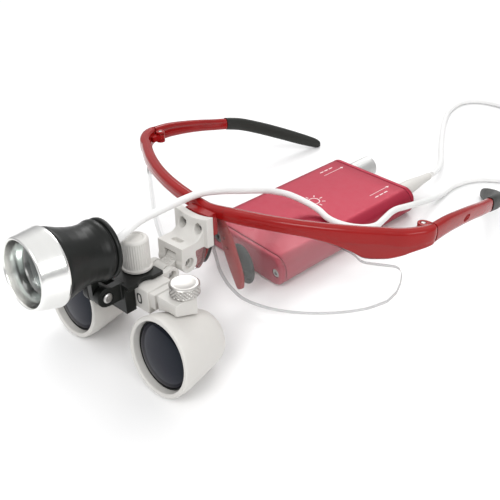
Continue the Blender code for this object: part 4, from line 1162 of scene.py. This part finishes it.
def make_barrel(side, label):
    place = barrel_space(side)
    outline = [(14.7, 0.0), (15.2, -0.3), (15.3, -1.4), (15.1, -4.4), (13.4, -12.2), (11.5, -20.0),
               (10.9, -22.2), (9.9, -24.1), (8.8, -25.0)]
    inner = [(7.6, -25.0), (7.6, -23.6), (8.8, -22.6), (12.0, -6.4), (12.6, -5.6), (13.4, -5.6),
             (13.4, -0.5), (13.7, -0.1)]
    shell = turned(softened(outline + inner, 0.5, closed=True), closed=True, steps=128)
    back = between(GLASSES, place)
    bore = moved(rod((side * SWIVEL[0], SWIVEL[1], -23.0), 1.4, 7, "Z"), back)
    body = label + "_barrel"
    piece("loupe_" + label, shell, place, "white_plastic", body, ["barrel_" + label], [bore],
          sharp=45)
    dome = [(12.6 * sin(pi / 2 * k / 28), -3.6 + 2.6 * cos(pi / 2 * k / 28)) for k in range(29)]
    piece("loupe_objective_" + label, turned(dome + [(12.6, -5.0), (0, -5.0)], steps=112), place,
          "coated_glass", body, ["objective_lens_" + label])
    ring = softened([(12.7, -3.0), (13.2, -3.0), (13.2, -4.2), (12.6, -4.2)], 0.12, closed=True)
    piece("loupe_ring_" + label, turned(ring, closed=True, steps=112), place, "black_plastic", body,
          ["lens_ring_" + label])
    eye = [(0, -23.2), (4.0, -23.4), (7.2, -24.0), (7.2, -24.8), (5.0, -24.6), (0, -24.4)]
    piece("loupe_eyepiece_" + label, turned(softened(eye, 0.3), steps=64), place, "lamp_glass", body,
          ["eyepiece_lens_" + label])


KNURL_LOBES = 22
KNURL_PITCH = 1.5
KNURL_DEPTH = 0.42


def make_carriage(side, label):
    ends = sorted((side * 18.6, side * 28.2))
    solids = [block(ends, (-39.5, -29.5), (-23.0, -13.4))]
    to_glasses = between(barrel_space(side), GLASSES)
    seat = [(0, 4.0), (16.0, 4.0), (16.0, -0.6), (15.8, -4.0), (12.0, -21.0), (11.1, -23.6), (9.8, -25),
            (0, -25)]
    cutters = [
        block(sorted((side * 10, side * 26.9)), (-38.0, -30.9), (-19.0, -15.2)),
        moved(turned(seat), to_glasses),
        rod((side * THUMB_SCREW[0], THUMB_SCREW[1], -13.6), 1.6, 3.6, "Z"),
        rod((side * SWIVEL[0], SWIVEL[1], -20.6), 1.4, 2.9, "Z"),
    ]
    body = label + "_carriage"
    moulding("slider_" + label, solids, cutters, GLASSES, "white_plastic", body,
             ["carriage_" + label], voxel=0.2, rounds=7)
    pin = softened([(0, 0), (1.1, 0), (1.1, -3.4), (0, -3.4)], 0.15)
    piece("swivel_stud_" + label, turned(pin, steps=32),
          space(GLASSES, (side * SWIVEL[0], SWIVEL[1], -19.4)), "steel", body, ["swivel_pin_" + label])

    def knurl(angle, radius, z):
        if radius < 5.2:
            return radius
        inside = ease((z - 0.6) / 0.3) * ease((4.0 - z) / 0.3)
        turn = KNURL_LOBES * angle
        rise = 2 * pi * z / KNURL_PITCH
        return radius - KNURL_DEPTH * inside * (2 - cos(turn + rise) - cos(turn - rise)) / 4

    wall = [(5.5, 4.0 - 3.4 * k / 24) for k in range(25)]
    head = [(0, 4.35), (3.9, 4.4), (4.6, 4.6), (5.1, 4.45)]
    profile = head + wall + [(5.1, 0), (1.3, 0), (1.3, -2.0), (0, -2.0)]
    piece("knurled_screw_" + label, turned(profile, steps=320, rib=knurl),
          space(GLASSES, on_side(side, THUMB_SCREW)), "knurled_steel", label + "_thumb_screw",
          ["thumb_screw_" + label], sharp=50)


# ---------------------------------------------------------------- battery box

def rounded_rectangle(width, height, radius, arc_steps=12):
    points = []
    for quarter in range(4):
        cx = (width / 2 - radius) * (1 if quarter in (0, 3) else -1)
        cy = (height / 2 - radius) * (1 if quarter in (0, 1) else -1)
        for i in range(arc_steps + 1):
            angle = pi / 2 * (quarter + i / arc_steps)
            points.append((cx + radius * cos(angle), cy + radius * sin(angle)))
    return points


def box_ring(y, inset=0.0):
    """The box's outline at a place along it, drawn in by an inset."""
    outline = rounded_rectangle(BOX_WIDTH - 2 * inset, BOX_HEIGHT - 2 * inset, BOX_EDGE - inset)
    return [(x, y, z + BOX_HEIGHT / 2) for x, z in outline]


def make_box():
    half = BOX_LENGTH / 2
    shell_half = half - END_CAP - GAP
    rows = [(-shell_half, 0.25), (-shell_half + 0.25, 0.06), (-shell_half + 0.6, 0)]
    rings = [box_ring(y, inset) for y, inset in rows]
    rings += [box_ring(-shell_half + 0.6 + (2 * shell_half - 1.2) * k / 12) for k in range(1, 12)]
    rings += [box_ring(-y, inset) for y, inset in reversed(rows)]
    rings += [box_ring(y, BOX_WALL) for y in (shell_half, -shell_half)]
    piece("box_shell", skin(rings, closed=True), BOX, "box_red", "frame", ["battery_case"], sharp=50)
    for name, end in (("charge", -1), ("output", 1)):
        rings = [box_ring(end * (half - END_CAP), 0.25), box_ring(end * (half - END_CAP + 0.3), 0)]
        fillet = 1.7
        for k in range(9):
            angle = pi / 2 * k / 8
            rings.append(box_ring(end * (half - fillet + fillet * sin(angle)),
                                  fillet * (1 - cos(angle))))
        cutters = []
        for side, label in SIDES:
            middle = (side * CAP_SCREW_X, end * half, BOX_HEIGHT / 2)
            cutters += [rod(middle, 1.1, 10, "Y"), rod(middle, 2.15, 3.2, "Y")]
            head = softened([(0, 0), (1.9, 0), (1.9, -1.2), (0.8, -1.2), (0.8, -9.0), (0, -9.0)], 0.2)
            hexagon = [(1.05 * cos(pi / 3 * k), 1.05 * sin(pi / 3 * k)) for k in range(6)]
            socket = skin([[(x, y, z) for x, y in hexagon] for z in (-0.9, 0.4)])
            place = space(BOX, (middle[0], end * (half - 0.2), middle[2]), -end * pi / 2)
            piece("%s_cap_screw_%s" % (name, label), turned(head, steps=48), place, "steel", "frame",
                  ["%s_end_screw_%s" % (name, label)], [socket])
        if end < 0:
            cutters.append(rod((SOCKET_X, -half, 7.4), 3.05, 10, "Y"))
            cutters.append(rod((SOCKET_X + 8.5, -half, 7.4), 1.3, 2.4, "Y"))
        else:
            cutters += [rod((DIMMER_X, half, 7.0), 1.9, 10, "Y"),
                        rod((OUTPUT_X, half, 7.0), 2.1, 10, "Y")]
        piece(name + "_cap", skin(rings), BOX, "box_red", "frame", [name + "_end_cap"], cutters,
              sharp=40)
    socket = softened([(0, -7.6), (1.3, -7.6), (1.3, 0), (2.8, 0), (2.8, -9.0), (0, -9.0)], 0.15)
    piece("jack", turned(socket, steps=48), space(BOX, (SOCKET_X, -half + 0.1, 7.4), pi / 2),
          "black_plastic", "frame", ["charge_socket"])
    lamp = softened([(0, 0), (1.0, -0.3), (1.1, -0.9), (0, -0.9)], 0.3)
    piece("charge_lamp", turned(lamp, steps=32), space(BOX, (SOCKET_X + 8.5, -half + 0.35, 7.4), pi / 2),
          "lamp_glass", "frame")
    for node, material in (("battery_cell", "cell_wrap"), ("circuit_board", "board_green")):
        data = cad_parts[node].data
        data.materials.clear()
        data.materials.append(MATERIALS[material])


PRINT_Z = (BOX_HEIGHT - 0.02, BOX_HEIGHT + 0.03)  # bottom and top of the print on the lid


def plate_mark(points):
    """A thin print on the box's lid, from an outline of (x, y)."""
    return skin([[(x, y, z) for x, y in points] for z in PRINT_Z])


def plate_bar(left, right, near, far):
    return plate_mark([(left, near), (right, near), (right, far), (left, far)])


def make_box_marks():
    """Generic print: an arrow by each fitting, plain bars for captions, and a sun in the middle."""
    marks = []
    for x, y in ((DIMMER_X, 38.4), (OUTPUT_X, 38.4)):
        marks.append(plate_mark([(x - 0.9, y - 1.6), (x + 0.9, y - 1.6), (x, y)]))
        marks.append(plate_bar(x - 0.15, x + 0.15, y - 14.0, y - 1.6))
    for x in (SOCKET_X, SOCKET_X + 8.5):
        marks.append(plate_mark([(x + 0.8, -36.0), (x - 0.8, -36.0), (x, -37.6)]))
        marks.append(plate_bar(x - 0.15, x + 0.15, -36.0, -30.0))
    for x in (DIMMER_X - 4.0, OUTPUT_X + 2.6):
        for k in range(3):
            marks.append(plate_bar(x, x + 0.7, 25 + 3.2 * k, 27.4 + 3.2 * k))
    count = 36
    ring = []
    low, high = PRINT_Z
    for radius, z in ((3.0, low), (3.0, high), (2.5, high), (2.5, low)):
        ring.append([(radius * cos(2 * pi * i / count), 2 + radius * sin(2 * pi * i / count), z)
                     for i in range(count)])
    marks.append(skin(ring, closed=True))
    for k in range(8):
        turn = Matrix.Translation((0, 2, 0)) @ Matrix.Rotation(2 * pi * k / 8, 4, "Z")
        marks.append(moved(plate_bar(3.9, 5.6, -0.25, 0.25), turn))
    piece("lid_marks", merged(*marks), BOX, "white_ink", "frame")


def make_dimmer():
    half = BOX_LENGTH / 2

    def flute(angle, radius, z):
        if radius < 5.3:
            return radius
        inside = ease((z - 1.6) / 0.5) * ease((13.6 - z) / 0.6)
        return radius - 0.1 * inside * (1 + cos(DIMMER_FLUTES * angle)) / 2

    profile = softened([(0, 15.3), (4.6, 15.3), (5.6, 14.3), (5.6, 13.4), (5.6, 8.0), (5.6, 1.9),
                        (5.6, 1.1), (5.2, 0.3), (1.5, 0.3), (1.5, -6.0), (0, -6.0)], 0.4)
    knob = turned(profile, steps=264, rib=flute)
    groove = block((-0.25, 0.25), (1.2, 5.8), (14.9, 15.6))
    piece("dimmer_cap", knob, space(BOX, (DIMMER_X, half, 7.0), -pi / 2), "knob_silver", "dimmer",
          ["dimmer_knob"], [groove], sharp=50)


def make_plug():
    half = BOX_LENGTH / 2
    profile = [(0, 27.3), (1.7, 27.3), (1.95, 26.2), (2.15, 23.0), (2.6, 19.0), (3.3, 14.0), (3.7, 10.0),
               (3.85, 6.0), (3.9, 2.4), (3.9, 0.3), (1.7, 0.3), (1.7, -5.0), (0, -5.0)]
    return piece("lead_plug", turned(softened(profile, 0.5), steps=64),
                 space(BOX, (OUTPUT_X, half, 7.0), -pi / 2), "white_plastic", "frame", ["output_plug"])


make_materials()
make_camera()
LEAD_START, LEAD_MIDDLE, MAIN_CORD, CORD_LINE, CORD_TOTAL = make_cord()
STRAP = make_tie()
PLUG = make_plug()
print("cord length, m:", round(CORD_TOTAL, 4))
make_studio()
make_front()
make_nose()
for SIDE, LABEL in SIDES:
    make_lens(SIDE, LABEL)
    make_temple(SIDE, LABEL)
    make_barrel(SIDE, LABEL)
    make_carriage(SIDE, LABEL)
make_bracket()
make_link()
make_crossbar()
make_clamp_knob()
make_lamp_clip()
make_lamp()
make_box()
make_box_marks()
make_dimmer()
